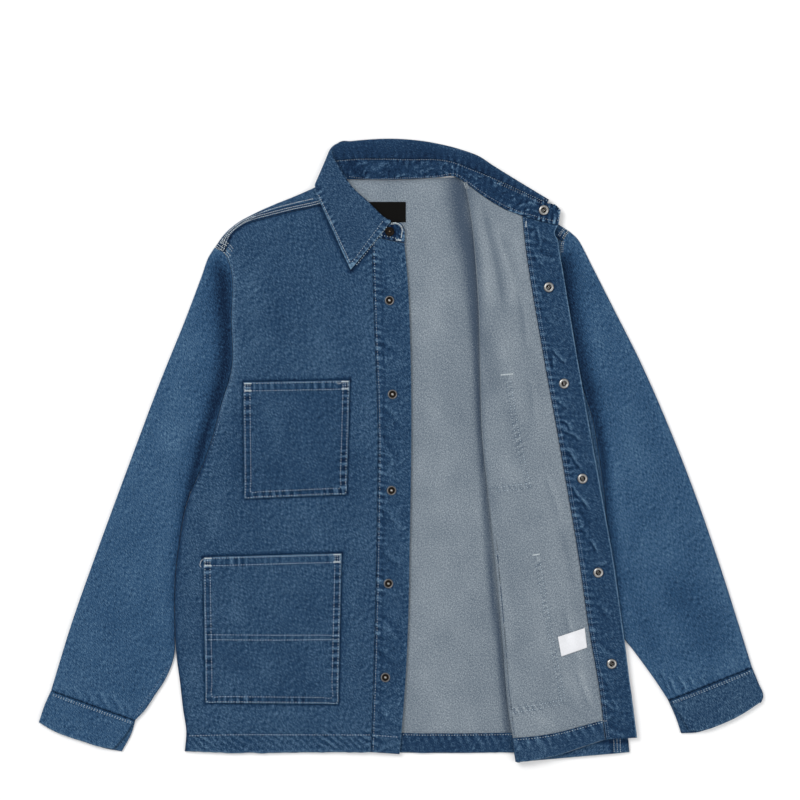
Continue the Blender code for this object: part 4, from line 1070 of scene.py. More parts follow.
def buildLeftFront():
    grid = leftFrontGrid(leftFront["fine"], leftFront["lowColumns"], leftFront["rollColumns"],
        leftFront["highColumns"])
    openFrom = leftFront["lowColumns"] + leftFront["rollColumns"]
    high = grid[:, openFrom - 4 :]
    bandLine = high[::8, -1, :2]
    bandLook = {"inner": -4, "outer": 1, "fade": 6.0, "wave": 8.0, "height": 0.15, "tone": 0.20, "slant": 0.5}
    ropes = [(bandLine, bandLook)]
    for name in ("leftChest", "leftLower"):
        for line in pocketShow[name]["lines"]:
            ropes.append((run(spot(line)), {"inner": -2, "outer": 2, "fade": 3.0, "wave": 7.5, "height": 0.18,
                "tone": 0.40, "slant": 0.4}))
    sewn = [(moved(line, side), 0.9, -0.1, -0.34) for line, look in ropes[1:] for side in (2.6, -2.6)]
    height, tone = relief(high, ropes=ropes, grooves=sewn, folds=leftFront["folds"], waves=0.4, seed=51)
    # painted shade along the placket seam, and the painted shadow beside the roll
    distance, along, length = besideLine(high, high[::8, -1, :2], 20)
    tone = tone - 0.16 * np.exp(-((distance / 1.6) ** 2)) - 0.85 * rollShade(high)
    settle = ramp(np.arange(high.shape[1]), 0, 10)[None] * edgeSettle(high.shape[:2], 2)
    grid = grid.copy()
    grid[:, openFrom - 4 :] = lift(high, np.maximum(height, -0.3) * settle)
    allTone = np.zeros(grid.shape[:2])
    allTone[:, openFrom - 4 :] = tone
    low = grid[:, : leftFront["lowColumns"]]
    lowTone = allTone[:, : leftFront["lowColumns"]]
    # painted shade along both edges of the side seam's felled band and along the hem's top on the strip
    for line, width, t0 in (([(622.6, 734), (623.2, 756)], 1.0, -1.1), ([(611, 734), (611.8, 756)], 1.2, -0.5),
        ([(600, 741.5), (632, 741.5)], 2.2, -0.8)):
        lowTone += t0 * np.exp(-((besideLine(low, spot(line), 12)[0] / width) ** 2))
    lowTone += 0.5 * np.exp(-((np.arange(len(low)) / 0.8) ** 2))[:, None]
    weave = arcWeave(grid)
    weave[..., 1] = np.linalg.norm(grid[:, openFrom, :2] - grid[0, openFrom, :2], axis=-1)[:, None] + 0 * weave[...,
        0]
    weave[..., 0] -= weave[:, openFrom : openFrom + 1, 0]
    # past the roll it lies square to the table, so that the slanting rows don't crowd it
    past = grid[:, openFrom:, :2] - grid[:, openFrom : openFrom + 1, :2]
    weave[:, openFrom:, 0] = past[..., 0]
    weave[:, openFrom:, 1] += past[..., 1]
    full = layer(grid, allTone, weave)
    carry("leftOpen", full[:, openFrom:], cloth["ply"])
    carry("leftUnder", full[:, : leftFront["lowColumns"]], cloth["ply"])
    # first finish is the blue outside: up on the run that lies on the back, down where it is turned
    clothPiece("leftFrontCloth", [full], [(0.5, 0.1, 1)], cloth["ply"], [denimOutside, denimInside], "left_front")
    return grid


def buildLeftFrontHem(grid):
    inside = grid + cloth["step"] * surfaceNormals(grid)
    first = leftFront["lowColumns"] + leftFront["rollColumns"] // 2
    columns = np.linspace(first, grid.shape[1] - 1.25, 90)
    deep = np.linalg.norm(grid[:, -1, :2] - grid[0, -1, :2], axis=-1)
    rows = np.interp(spread(13, 0.6) * 24.6 + 0.4, deep, np.arange(len(deep)))
    band = readGrid(inside, rows[:, None], columns[None])
    topLine = band[-2, 4:, :2][::4]
    look = {"inner": -2, "outer": 2, "fade": 10.0, "wave": 13.0, "height": 0.28, "tone": 0.50, "slant": 0.4}
    height, tone = relief(band, ropes=[(topLine, look)], grooves=[(topLine, 1.1, -0.15, -0.28)],
        creases=[dict(placketCreases[0], turn=-58, tone=0.5)], waves=0.15, seed=61)
    band = lift(band, np.maximum(height, -0.2) * ramp(np.arange(90), 4, 14)[None])
    tone = tone + 0.5 * np.exp(-((np.arange(len(band)) / 0.7) ** 2))[:, None]
    full = layer(waveHem(band, 13), tone, arcWeave(band))
    carry("leftHem", full[:, 10:], cloth["ply"])
    clothPiece("leftFrontHemCloth", [full], [(0.5, 0.9, 1)], cloth["ply"], [denimCollar], "left_front_hem")


leftPlacket = {
    "folds": [
        (spot([(535.4, 224), (538, 234), (541, 246)]), 1.7, 0.4, 0.75),
        (spot([(528, 236), (531, 230), (535, 228)]), 2.0, -0.3, -0.6),
        (spot([(541, 235), (546, 239), (553, 240.5)]), 2.2, 0.4, 0.5),
        (spot([(538, 250), (547, 255), (556, 256)]), 2.6, -0.3, -0.45),
        (spot([(531.5, 247), (536.5, 258), (545, 268)]), 1.8, 0.35, 0.5),
        (spot([(536, 284), (541, 292), (546, 298)]), 2.4, -0.3, -0.3),
        (spot([(541, 306), (548, 318), (556, 326)]), 2.0, 0.3, 0.3),
        (spot([(551.5, 347), (556, 353), (565.5, 362.5)]), 1.6, 0.4, 0.75),
        (spot([(552.5, 352), (553.4, 361), (554, 371)]), 1.6, 0.35, 0.5),
        (spot([(546, 352), (550, 360), (551, 372)]), 2.4, -0.3, -0.4),
        (spot([(557.5, 399), (562, 404), (568, 407)]), 1.6, 0.4, 0.7),
        (spot([(560.5, 418.5), (566, 421), (569, 424), (571, 431)]), 1.6, 0.45, 0.9),
        (spot([(561, 426), (566, 431), (574, 434), (582, 443)]), 1.5, 0.4, 0.8),
        (spot([(566.5, 447.5), (570, 452), (574, 459), (583, 470)]), 1.6, 0.45, 0.95),
        (spot([(570, 456), (570.5, 460), (569.5, 466)]), 1.5, 0.35, 0.6),
        (spot([(565, 440), (572, 446), (580, 452)]), 2.6, -0.35, -0.4),
        (spot([(571, 484), (578, 495), (584, 501), (590, 511)]), 1.6, 0.45, 0.95),
        (spot([(572, 498.5), (576, 499), (582, 501.5)]), 1.4, 0.35, 0.6),
        (spot([(574, 505), (582, 514), (588, 528)]), 3.0, -0.35, -0.4),
        (spot([(580, 524), (585, 531), (588, 535)]), 1.6, 0.4, 0.6),
        (spot([(586.5, 536.5), (593, 543), (597.5, 553)]), 1.6, 0.45, 0.9),
        (spot([(594, 563.5), (601, 564), (608, 561)]), 1.6, 0.4, 0.6),
        (spot([(594, 600), (602, 606), (612, 622)]), 2.4, 0.35, 0.4),
        (spot([(597, 640), (606, 648), (618, 655)]), 2.4, -0.3, -0.35),
        (spot([(598, 672), (606, 679), (612, 690)]), 2.0, 0.35, 0.45),
        (spot([(597, 700), (605, 703), (617, 711)]), 1.8, 0.4, 0.7),
        (spot([(612, 698), (616, 706), (619, 713)]), 1.6, 0.35, 0.5),
        (spot([(604, 722), (614, 728), (628, 732)]), 2.6, -0.3, -0.35),
    ],
}


def leftPlacketGrid(grid, columns=32):
    seam = grid[:, -1]
    return withHeight(placketPlan(seam[:, :2].copy(), leftFront["edge"], columns), seam[:, 2:3])


def buildLeftPlacket(grid):
    band = leftPlacketGrid(grid)
    inner, outer = band[::8, 2, :2], band[::8, -2, :2]
    height, tone = relief(
        band,
        ropes=placketRelief(band, inner, outer, 71, 1.1)[:1],
        grooves=[(inner, 1.0, -0.2, -0.22), (run(spot([(524, 262), (540, 360), (559, 470), (576, 560), (594,
            690)])), 1.6, -0.2, -0.25)],
        folds=leftPlacket["folds"],
        creases=[dict(look, tone=0.6 * look["tone"]) for look in placketCreases],
        waves=0.3,
        seed=71,
    )
    tone = tone - 0.16
    # painted shade along the placket's seam with the front
    tone[:, 0] -= 0.2
    tone = tone + 1.0 * np.exp(-((np.abs(np.arange(tone.shape[1])[::-1] - 0.6) / 0.9) ** 2))
    band = lift(band, np.maximum(height, -0.3) * edgeSettle(band.shape[:2], 2) + 0.1)
    full = layer(band, tone, planWeave(band, 9))
    carry("leftPlacket", full, cloth["doublePly"])
    clothPiece("leftPlacketCloth", [full], [(0.5, 0.5, 1)], cloth["doublePly"], [denimOutside], "left_placket")


# sleeves and cuffs, pressed flat

sleeves = {
    "right": {
        "outer": [(-241.2, 264.4), (-249, 252), (-258, 227.5), (-280, 169), (-311.5, 91), (-341, 13), (-370, -65),
            (-398.5, -143), (-426, -221), (-454, -312)],
        "free": [(-293.5, -265), (-306, -299), (-319, -318.5), (-332, -338), (-344.5, -351)],
        "freeFrom": 14,
        "flip": -1,
        "turn": -12,
        "shade": 0.95,
        "trough": [(217, 250), (221.5, 270), (223, 300), (225, 345), (222, 378), (213, 408), (206, 430), (198, 458),
            (190, 487), (183, 515), (177, 560), (175, 640)],
        "flat": (0.34, 0.60),
        "area": 0.118,
        "folds": [
            (spot([(206, 262), (204, 320), (200, 390)]), 14, -0.5, -0.10),
            (spot([(190, 330), (176, 400), (160, 470)]), 16, 0.6, 0.12),
            (spot([(176, 470), (160, 540), (150, 610)]), 14, 0.5, 0.10),
            (spot([(196, 420), (182, 470), (170, 520)]), 10, -0.45, -0.14),
            (spot([(118, 560), (112, 610), (116, 660)]), 12, -0.35, -0.08),
            (spot([(92, 620), (84, 660), (80, 690)]), 10, 0.35, 0.08),
            (spot([(160, 620), (140, 660), (128, 690)]), 9, -0.4, -0.10),
            (spot([(86, 689), (90, 695), (95, 703)]), 1.7, 0.45, 0.45),
            (spot([(98, 690), (103, 698), (109, 708)]), 1.8, 0.45, 0.50),
            (spot([(110, 692), (117, 702), (124, 714)]), 1.9, 0.45, 0.52),
            (spot([(73, 686), (77, 692), (81, 698)]), 1.7, 0.4, 0.40),
            (spot([(60, 682), (63, 687), (67, 693)]), 1.7, 0.35, 0.36),
            (spot([(122, 700), (127, 707), (131, 715)]), 1.6, 0.4, 0.40),
        ],
    },
    "left": {
        "outer": [(219.3, 286.4), (231, 275.5), (240, 260), (246.5, 247), (276, 188.5), (315, 110.5), (357, 13),
            (387, -65), (414, -143), (439, -221), (458, -282)],
        "free": [(288.5, -240), (303.5, -260), (318, -279.5), (332, -299), (349, -325)],
        "freeFrom": 13,
        "flip": 1,
        "turn": -6,
        "shade": 0.85,
        "trough": [(564, 256), (570, 300), (578.5, 350), (590, 400), (601.5, 448), (606, 500), (614.5, 560),
            (621, 640)],
        "flat": (0.35, 0.62),
        "area": 0.126,
        "folds": [
            (spot([(588, 300), (596, 345), (606, 390)]), 9, 0.6, 0.14),
            (spot([(612, 440), (618, 490), (626, 560)]), 7, 0.6, 0.16),
            (spot([(585, 372), (600, 400), (612, 440)]), 10, -0.4, -0.12),
            (spot([(590, 250), (600, 290), (606, 320)]), 10, -0.3, -0.06),
            (spot([(618, 380), (632, 450), (640, 520)]), 16, 0.55, 0.12),
            (spot([(636, 400), (660, 470), (676, 540)]), 14, -0.35, -0.06),
            (spot([(640, 540), (660, 600), (680, 650)]), 14, 0.4, 0.04),
            (spot([(664, 560), (690, 620), (706, 668)]), 26, -0.3, -0.24),
            (spot([(622, 560), (640, 620), (660, 668)]), 9, -0.4, -0.10),
            (spot([(667, 674), (673, 685), (677, 696)]), 1.7, 0.5, 0.62),
            (spot([(659, 668), (666, 680), (670, 696)]), 1.8, 0.5, 0.46),
            (spot([(676, 674), (683, 683), (687, 692)]), 1.7, 0.5, 0.62),
            (spot([(687, 674), (692, 681), (695, 689)]), 1.7, 0.45, 0.52),
            (spot([(698, 676), (703, 681), (706, 685)]), 1.6, 0.4, 0.40),
            (spot([(712, 670), (718, 675), (722, 679)]), 1.6, 0.4, 0.34),
            (spot([(664, 648), (676, 654), (690, 660)]), 5, -0.4, -0.20),
            (spot([(724, 650), (730, 660), (736, 670)]), 4, 0.35, 0.18),
        ],
    },
}


def halfRound(centre, out, radius, lowZ, steps=6):
    found = []
    for angle in np.linspace(180, 0, steps + 1)[1:-1]:
        reach, rise = radius * math.sin(math.radians(angle)), radius * (1 - math.cos(math.radians(angle)))
        found.append(withHeight(centre + reach[:, None] * out, lowZ + rise))
    return np.array(found).transpose(1, 0, 2)


def buildSleeve(side, fine=13, topColumns=50, lowColumns=14):
    # a tube pressed flat: open along the armhole, closed under the arm, open at the cuff
    look = sleeves[side]
    flip, ply = look["flip"], 1.2
    beside = moved(bodyLine(side, fine), flip * 1.2 * cloth["gap"])[: look["freeFrom"] * fine + 1]
    inner = np.concatenate([beside, even([tuple(beside[-1])] + look["free"], 4 * fine + 1)[1:]])
    outer = even(look["outer"], len(inner))
    down = chords(inner)
    armRow = body[side + "Spans"][0] * fine
    armpit = down[armRow]
    outerHeight = 3.0 + 3.2 * ramp(down, 0, 0.3)
    innerHeight = 3.0 + 1.3 * ramp(down, armpit, 0.8)
    settle = ramp(down, 0.86, 1)
    outerHeight += (5.6 - outerHeight) * settle
    innerHeight += (5.6 - innerHeight) * settle
    across2 = inner - outer
    across2 = across2 / np.linalg.norm(across2, axis=1)[:, None]
    start = outer + (outerHeight / 2)[:, None] * across2
    openRows, closedRows = down < armpit + 1e-6, down > armpit - 1e-6
    inset = np.where(openRows, np.where(closedRows, ply / 2, 0), innerHeight / 2)
    # the last open rows ease into the closed tube
    end = inner - inset[:, None] * across2
    across = np.linspace(0, 1, topColumns)
    plan = start[:, None] + across[None, :, None] * (end - start)[:, None]
    crown = 0.8 * np.sin(math.pi * across)[None] * (ramp(down, 0.1, 0.4) - ramp(down, 0.8, 0.95))[:, None]
    height = outerHeight[:, None] + across[None] * (innerHeight - outerHeight)[:, None] + crown
    top = withHeight(plan, height - ply / 2)
    underAcross = np.linspace(0, 1, lowColumns)
    under = withHeight(start[:, None] + underAcross[None, :, None] * (end - start)[:, None], ply / 2)
    arc = halfRound(start, -across2, (outerHeight - ply) / 2, ply / 2)
    closing = halfRound(end, across2, (innerHeight - ply) / 2, ply / 2)
    upright = np.linspace(top[:, -1], under[:, -1], 7)[1:-1].transpose(1, 0, 2)
    closing[openRows] = upright[openRows]
    cuffLine = np.array([inner[-1], outer[-1]])
    seamLook = {"inner": -2, "outer": 1.5, "fade": 6.0, "wave": 7.5, "height": 0.25, "tone": 0.34, "slant": 0.0}
    lift1, tone = relief(top, ropes=[(np.linspace(*cuffLine, 12), seamLook)], folds=look["folds"], waves=0.45,
        seed=81 if flip < 0 else 91)
    # painted shade in the sleeve's dip beside the body; the dip itself is also lowered below
    distance, along, length = besideLine(top, run(spot(look["trough"])), 40)
    reach = 12.5 - 6 * ramp(down, 0.25, 0.5)[:, None]
    depth = np.exp(-(np.abs(distance / reach) ** 1.7))
    tone = tone - look["shade"] * depth * (ramp(down, 0.0, 0.06) * (1 - 0.55 * ramp(down, 0.42, 0.7)))[:, None]
    # painted shade along the seam where the cuff lies on the sleeve
    distance, along, length = besideLine(top, np.linspace(*cuffLine, 12), 8)
    tone = tone - 0.7 * np.exp(-((distance / 1.4) ** 2))
    distance, along, length = besideLine(top, start[::6], 14)
    tone = tone + 0.10 * np.exp(-(((np.abs(distance) - 2) / 3.5) ** 2))
    rim = edgeSettle(top.shape[:2], 3) * ramp(np.arange(topColumns), 0, 5)[None]
    top = lift(top, np.maximum(lift1, -0.8) * rim - 0.5 * depth * rim)
    sleeveBody = np.concatenate([top[:, ::-1], arc, under], axis=1)
    bodyTone = np.concatenate([tone[:, ::-1], np.zeros(arc.shape[:2]), np.zeros(under.shape[:2])], axis=1)
    edge = np.concatenate([top[:, -1:], closing, under[:, -1:]], axis=1)[closedRows]
    grids = [
        layer(sleeveBody, bodyTone, planWeave(sleeveBody, look["turn"])),
        layer(edge, tone[closedRows][:, -1:] + 0 * edge[..., 0], planWeave(edge, look["turn"])),
    ]
    name = side + "Sleeve"
    carry(name, layer(top, tone, planWeave(top)), cloth["ply"])
    carry(name + "Under", layer(under, 0 * under[..., 0], planWeave(under)), cloth["ply"], -1)
    clothPiece(name + "Cloth", grids, [(0.5, 0.2, 1), (0.5, 0.0, 1)], cloth["ply"], [denimSleeve], side + "_sleeve")


cuffs = {
    "right": {
        "outer": [(-454.2, -312.6), (-462, -330), (-470, -353.5)],
        "end": [(-470, -353.5), (-452.5, -363.5), (-429, -373), (-404, -381), (-386, -387), (-362, -391.5)],
        "inner": [(-344.8, -351.6), (-349, -366.5), (-362, -391.5)],
        "turn": -20,
    },
    "left": {
        "outer": [(458.3, -282.6), (466, -301.5), (472.5, -321), (470, -327)],
        "end": [(470, -327), (447, -341.5), (410, -359), (388, -366.5), (366, -368)],
        "inner": [(349.4, -325.6), (359.5, -348.5), (366, -368)],
        "turn": 22,
    },
    "height": 5.6,
    "slit": 11.0,
}


def buildCuff(side, rows=26, columns=58):
    # a double band round the wrist, closed at the outer side and open at the inner
    look, thick = cuffs[side], 2.2
    outer, inner = even(look["outer"], rows), even(look["inner"], rows)
    seam = np.linspace(outer[0], inner[0], columns + 1)
    flat = patch(seam, even(look["end"], columns + 1), outer, inner)
    along = flat[:, -1] - flat[:, 0]
    along = along / np.linalg.norm(along, axis=1)[:, None]
    radius = np.full(rows, (cuffs["height"] - thick) / 2)
    across = np.linspace(0, 1, columns + 1)[None, :, None]
    start = flat[:, 0] + cuffs["height"] / 2 * along
    low = flat + (1 - across) * (start - flat[:, 0])[:, None]
    slit = 1.5 + (cuffs["slit"] - 1.5) * np.linspace(0, 1, rows)
    high = low - across * (slit[:, None] * along)[:, None]
    top, bottom = withHeight(high, cuffs["height"] - thick / 2), withHeight(low, thick / 2)
    seamLine = high[1, ::5]
    endLine = high[-1, ::5]
    seamLook = {"inner": -1, "outer": 2, "fade": 6, "wave": 8, "height": 0.25, "tone": 0.36, "slant": 0.3}
    height, tone = relief(top, ropes=[(seamLine, seamLook), (endLine, dict(seamLook, height=0.15, tone=0.2))],
        grooves=[(high[3, ::5], 1.0, -0.15, -0.15)], creases=[dict(placketCreases[0], turn=look["turn"] + 70,
        tone=0.26)], waves=0.35, seed=101 + columns)
    # the cuff's lower edge pale with wear; painted shade along its seam with the sleeve
    tone = tone + 0.5 * np.exp(-((np.arange(rows)[::-1] / 0.9) ** 2))[:,
        None] - 0.55 * np.exp(-((np.arange(rows) / 0.8) ** 2))[:, None]
    top = lift(top, np.maximum(height, -0.3) * edgeSettle(top.shape[:2], 2))
    arc = halfRound(start, -along, radius, thick / 2, 8)
    band = np.concatenate([top[:, ::-1], arc, bottom], axis=1)
    bandTone = np.concatenate([tone[:, ::-1], np.zeros(arc.shape[:2]), np.zeros(bottom.shape[:2])], axis=1)
    full = layer(band, bandTone, planWeave(band, -10))
    carry(side + "Cuff", layer(top, tone, planWeave(top)), cloth["doublePly"])
    carry(side + "CuffUnder", layer(bottom, 0 * bottom[..., 0], planWeave(bottom)), cloth["doublePly"], -1)
    clothPiece(side + "CuffCloth", [full], [(0.5, 0.1, 1)], cloth["doublePly"],
        [denimSleeve if side == "right" else denimOutside], side + "_cuff")
    return high


# collar

studs = {
    "places": [(-13.4, 284.6), (-13.7, 195), (-9.8, 73), (-11, -52), (-15, -173), (-19, -295)],
    # radius, height and finish (0 silver, 1 brass, 2 dark) from the middle of the ball outwards
    "profile": [(0, 2.45), (0.9, 2.4), (1.4, 2.15), (1.8, 1.7), (1.7, 1.2), (1.7, 0.6), (2.2, 0.42), (3.6, 0.42),
        (4.2, 0.62), (4.6, 1.1), (5.0, 1.38), (5.5, 1.3), (5.9, 0.9), (6.2, 0.45), (6.1, 0.1), (5.6, 0), (0, 0)],
    "finish": [0, 0, 1, 2, 2, 2, 2, 2, 2, 3, 3, 3, 3, 2, 2, 2],
    "shaded": [1, 2, 2, 2, 2, 2, 2, 2, 2, 2, 2, 2, 2, 2, 2, 2],  # the top one, in the leaf's shade: the dark finish paints that shade
}
sockets = {
    "places": [(186.6, 312), (193.2, 212), (213, 87), (237, -36.5), (257.5, -158.5), (275, -277)],
    "profile": [(0, 0.55), (2.6, 0.55), (2.95, 0.7), (3.1, 1.3), (3.35, 1.75), (3.9, 2.05), (4.6, 2.15), (5.3, 2.0),
        (6.0, 1.6), (6.45, 1.05), (6.6, 0.6), (6.4, 0.1), (6.0, 0), (0, 0)],
    # the dark finish on the recess floor and its wall is painted shade in the recess
    "finish": [2, 2, 2, 2, 3, 0, 0, 0, 3, 3, 2, 2, 2],
}


collar = {"standRise": 12.0, "steps": 12, "leafSteps": 14, "fallRows": 40}


def buildStand():
    rows = byRows(collarRows, collar["steps"])
    neck, top, neckZ, topZ = rows[:, 0:2], rows[:, 2:4], rows[:, 8], rows[:, 9]
    length = np.linalg.norm(top - neck, axis=1)
    strips = []
    for share in spread(15, 0.3):
        rise = share * length
        corner = rise / collar["standRise"]
        strips.append(withHeight(neck + share * (top - neck), neckZ + (topZ - neckZ) * ramp(corner, 0, 1)))
    grid = np.array(strips)
    low, high = grid[1, ::8, :2], grid[-2, ::8, :2]
    seamLook = {"inner": -2, "outer": 2, "fade": 5, "wave": 7.5, "height": 0.25, "tone": 0.70, "slant": 0.2}
    height, tone = relief(
        grid,
        ropes=[(low, seamLook), (high, seamLook)],
        # painted shadow on the stand beside the leaf's roll
        grooves=[(run(spot([(352, 163), (372, 196), (389, 218)])), 7, 0, -0.35)],
        creases=[dict(placketCreases[0], long=12, across=5, turn=-35, tone=1.3),
            dict(placketCreases[1], turn=55, tone=1.2)],
        waves=0.25,
        seed=111,
    )
    # darker overall, with painted shade along the stand's top under the leaf's roll
    tone = tone - 0.34 - 0.25 * np.exp(-((np.arange(len(grid))[::-1] / 2.0) ** 2))[:, None]
    tone[0] += 0.2
    tone[:, -3:] += 0.45
    tone[:, :3] += 0.35
    # painted shadow round the top stud, under the leaf
    tone = tone - 0.75 * bump(grid, studs["places"][0], 9.0)
    grid = lift(grid, np.maximum(height, -0.2) * edgeSettle(grid.shape[:2], 2))
    full = layer(grid, tone, planWeave(grid))
    carry("stand", full, cloth["doublePly"])
    clothPiece("standCloth", [full], [(0.5, 0.5, 1)], cloth["doublePly"], [denimCollar], "collar_stand")
    return grid


def leafGrid(steps, fallRows, turns=9):
    # from the stand's top over the roll and down to the leaf's edge
    rows = byRows(collarRows[2:21], steps)
    top, roll, edge = rows[:, 2:4], rows[:, 4:6], rows[:, 6:8]
    topZ, edgeZ, fallGap, turn = rows[:, 9], rows[:, 10], rows[:, 11], np.radians(rows[:, 12])
    rise = roll - top
    reach = np.linalg.norm(rise, axis=1)
    rise = rise / reach[:, None]
    radius = fallGap / 2
    last = reach - radius - 1.1
    beside = np.stack([-rise[:, 1], rise[:, 0]], axis=1)
    out = withHeight(beside * np.sin(turn)[:, None], np.cos(turn))
    up = withHeight(rise, 0)
    base = withHeight(top, topZ)
    crest = base + last[:, None] * up
    lines = [base + s * (crest - base) + (1 - s) * 0.45 * up for s in np.linspace(0, 1, 7)]
    for angle in np.linspace(0, math.pi, turns + 1)[1:-1]:
        lines.append(crest + math.sin(angle) * radius[:, None] * up + (1 - math.cos(angle)) * radius[:, None] * out)
    fallStart = crest + fallGap[:, None] * out
    fallEnd = withHeight(edge + (fallGap[:, None] * out)[:, :2], edgeZ)
    for share in spread(fallRows + 1, 0.3):
        plan = fallStart[:, :2] + share * (fallEnd - fallStart)[:, :2]
        lines.append(withHeight(plan, fallStart[:, 2] + share**2 * (fallEnd - fallStart)[:, 2]))
    return np.array(lines), 7 + turns - 1


def buildLeaf():
    grid, fallFrom = leafGrid(collar["leafSteps"], collar["fallRows"])
    frontLine, sideLine = run(spot(leaf["outerFront"])), run(spot(leaf["innerSide"]))
    look = {"inner": -2, "outer": 5, "fade": 2.4, "wave": 6.9, "height": 0.32, "tone": 0.80, "slant": 0.15}
    rollLine = run(spot([(333, 158), (350, 184), (383.6, 216.7), (389, 221)]))
    fall = grid[fallFrom:]
    height, tone = relief(
        fall,
        ropes=[(frontLine, look), (sideLine[::-1], dict(look, inner=-3, outer=4, height=0.25, tone=0.55))],
        # painted highlight along the leaf's roll
        grooves=[(rollLine, 2.5, 0.0, 0.18)],
        waves=0.3,
        seed=121,
    )
    tone = tone + 0.95 * np.exp(-((np.arange(len(fall))[::-1] / 1.3) ** 2))[:, None]
    tone[:, : 2] += 0.6
    grid[fallFrom:] = lift(fall, np.maximum(height, -0.3) * edgeSettle(fall.shape[:2],
        2) * np.where(fall[..., 2] > 4.7, 1, 0.3))
    allTone = np.zeros(grid.shape[:2])
    allTone[fallFrom:] = tone
    insideRope = {"inner": -3, "outer": 3, "fade": 6, "wave": 9, "height": 0.2, "tone": 0.6, "slant": 0.2}
    h2, t2 = relief(grid[:fallFrom], ropes=[(grid[0, ::8, :2], insideRope)], waves=0.25, seed=131)
    # painted shade on the leaf's inside near the stand
    allTone[:fallFrom] = t2 - (0.44 - 0.37 * ramp(np.arange(fallFrom), 1, 9))[:, None]
    full = layer(grid, allTone, planWeave(grid, 15))
    carry("leafFall", full[fallFrom:, : 8 * collar["leafSteps"]], cloth["doublePly"])
    carry("leafInside", full[:7], cloth["doublePly"])
    carry("leafUnder", full[fallFrom:, 8 * collar["leafSteps"] :], cloth["doublePly"], -1)
    clothPiece("leafCloth", [full], [(0.05, 0.8, 1)], cloth["doublePly"], [denimCollar], "collar_leaf")


# patch pockets

pockets = {
    "chest": {"corners": [(-203.5, 88.5), (-65.5, 91), (-69.5, -57), (-202, -62.5)], "node": "right_chest_pocket",
        "flat": (0.138, 0.150), "area": 0.0203, "dim": 0.13, "seed": 141},
    "lower": {"corners": [(-255.5, -139), (-76, -134), (-80.5, -329.5), (-252.5, -328)],
        "node": "right_lower_pocket", "flat": (0.180, 0.195), "area": 0.0342, "dim": 0.04, "seed": 151},
}
pocketShow = {
    "leftChest": {"lines": [[(508, 380), (514, 420), (528, 487)], [(494, 489), (512, 487), (528, 485)]]},
    "leftLower": {"lines": [[(537, 560), (549, 630), (562.7, 701)], [(511, 710), (536, 706), (562.7, 701)]]},
}


def cornersOf(name):
    return [np.array(corner, float) for corner in pockets[name]["corners"]]


def pocketOutline(name, inset):
    # sides and bottom of a pocket, moved in by that much
    topOuter, topInner, lowInner, lowOuter = (np.array(c, float) for c in pockets[name]["corners"])
    corners = [topOuter + (inset, 0), lowOuter + (inset, inset), lowInner + (-inset, inset), topInner + (-inset, 0)]
    parts = [np.linspace(a, b, 12)[:-1] for a, b in zip(corners[:-1], corners[1:])]
    return np.concatenate(parts + [[corners[-1]]])


def pocketTop(name):
    topOuter, topInner = (np.array(c, float) for c in pockets[name]["corners"][:2])
    return np.linspace(topOuter + (0, 0.8), topInner + (0, 0.8), 12)


def buildRightPocket(name, columns=76, rows=88):
    look = pockets[name]
    topOuter, topInner, lowInner, lowOuter = (np.array(c, float) for c in look["corners"])
    across, up = spread(columns, 0.55), spread(rows, 0.55)
    low = lowOuter + across[:, None] * (lowInner - lowOuter)
    high = topOuter + across[:, None] * (topInner - topOuter)
    left = lowOuter + up[:, None] * (topOuter - lowOuter)
    right = lowInner + up[:, None] * (topInner - lowInner)
    plan = patch(low, high, left, right, across, up)
    panel = withHeight(plan, frontHeight(plan) + cloth["step"] + 0.1)
    ropeLook = {"inner": -1.8, "outer": 7.2, "fade": 2.6, "wave": 9.2, "height": 0.36, "tone": 0.80, "slant": 0.05}
    outline = pocketOutline(name, 1.2)
    topLine = high - (0, 1.5)
    ropes = [(outline, ropeLook), (topLine[::-5], dict(ropeLook, outer=9, wave=9, height=0.25, tone=0.55))]
    grooves = [(outline, 0.9, -0.2, -0.25), (pocketOutline(name, 8.2), 0.9, -0.2, -0.25)]
    grooves += [(np.array([topOuter, topInner]) - (0, 10.5), 0.9, -0.2, -0.22)]
    folds = []
    if name == "lower":
        middle = run(spot([(205, 636.8), (270, 637), (339, 636.8)]))
        ropes.append((middle, {"inner": -3, "outer": 3, "fade": 4, "wave": 8, "height": 0.3, "tone": 0.45,
            "slant": 0.1}))
        folds = [
            (spot([(225, 575), (235, 600), (232, 625)]), 8, 0.35, 0.10),
            (spot([(300, 570), (310, 600), (305, 628)]), 9, -0.3, -0.10),
            (spot([(240, 650), (262, 664), (272, 690)]), 8, 0.35, 0.10),
            (spot([(300, 650), (296, 672), (310, 692)]), 8, -0.3, -0.09),
        ]
    else:
        folds = [
            (spot([(262, 400), (275, 430), (272, 470)]), 9, 0.35, 0.10),
            (spot([(320, 395), (316, 430), (324, 480)]), 9, -0.3, -0.09),
        ]
    height, tone = relief(panel, ropes=ropes, grooves=grooves, folds=folds, waves=0.35, seed=look["seed"])
    rim = np.minimum(np.minimum(np.arange(rows), np.arange(rows)[::-1])[:, None],
        np.minimum(np.arange(columns), np.arange(columns)[::-1])[None])
    tone = tone + 1.15 * np.exp(-((rim / 0.75) ** 2)) - look["dim"]
    distance, along, length = besideLine(panel, pocketOutline(name, 4.6), 12)
    tone = tone - 0.17 * np.exp(-((distance / 3.2) ** 4))
    panel = lift(panel, np.maximum(height, -0.3) + 0.1)
    grid = layer(panel, tone, planWeave(panel))
    carry(name + "Pocket", grid, cloth["ply"])
    clothPiece(name + "PocketCloth", [grid], [(0.5, 0.5, 1)], cloth["ply"], [denimOutside], look["node"])


leftPockets = {
    # top and bottom along the fold, widths on the turned cloth at top and bottom, whole width
    "left_chest_pocket": (93, -57, 36, 49, 137, 0.0203, (0.138, 0.150)),
    "left_lower_pocket": (-139, -335, 57, 69, 176, 0.0342, (0.180, 0.195)),
}


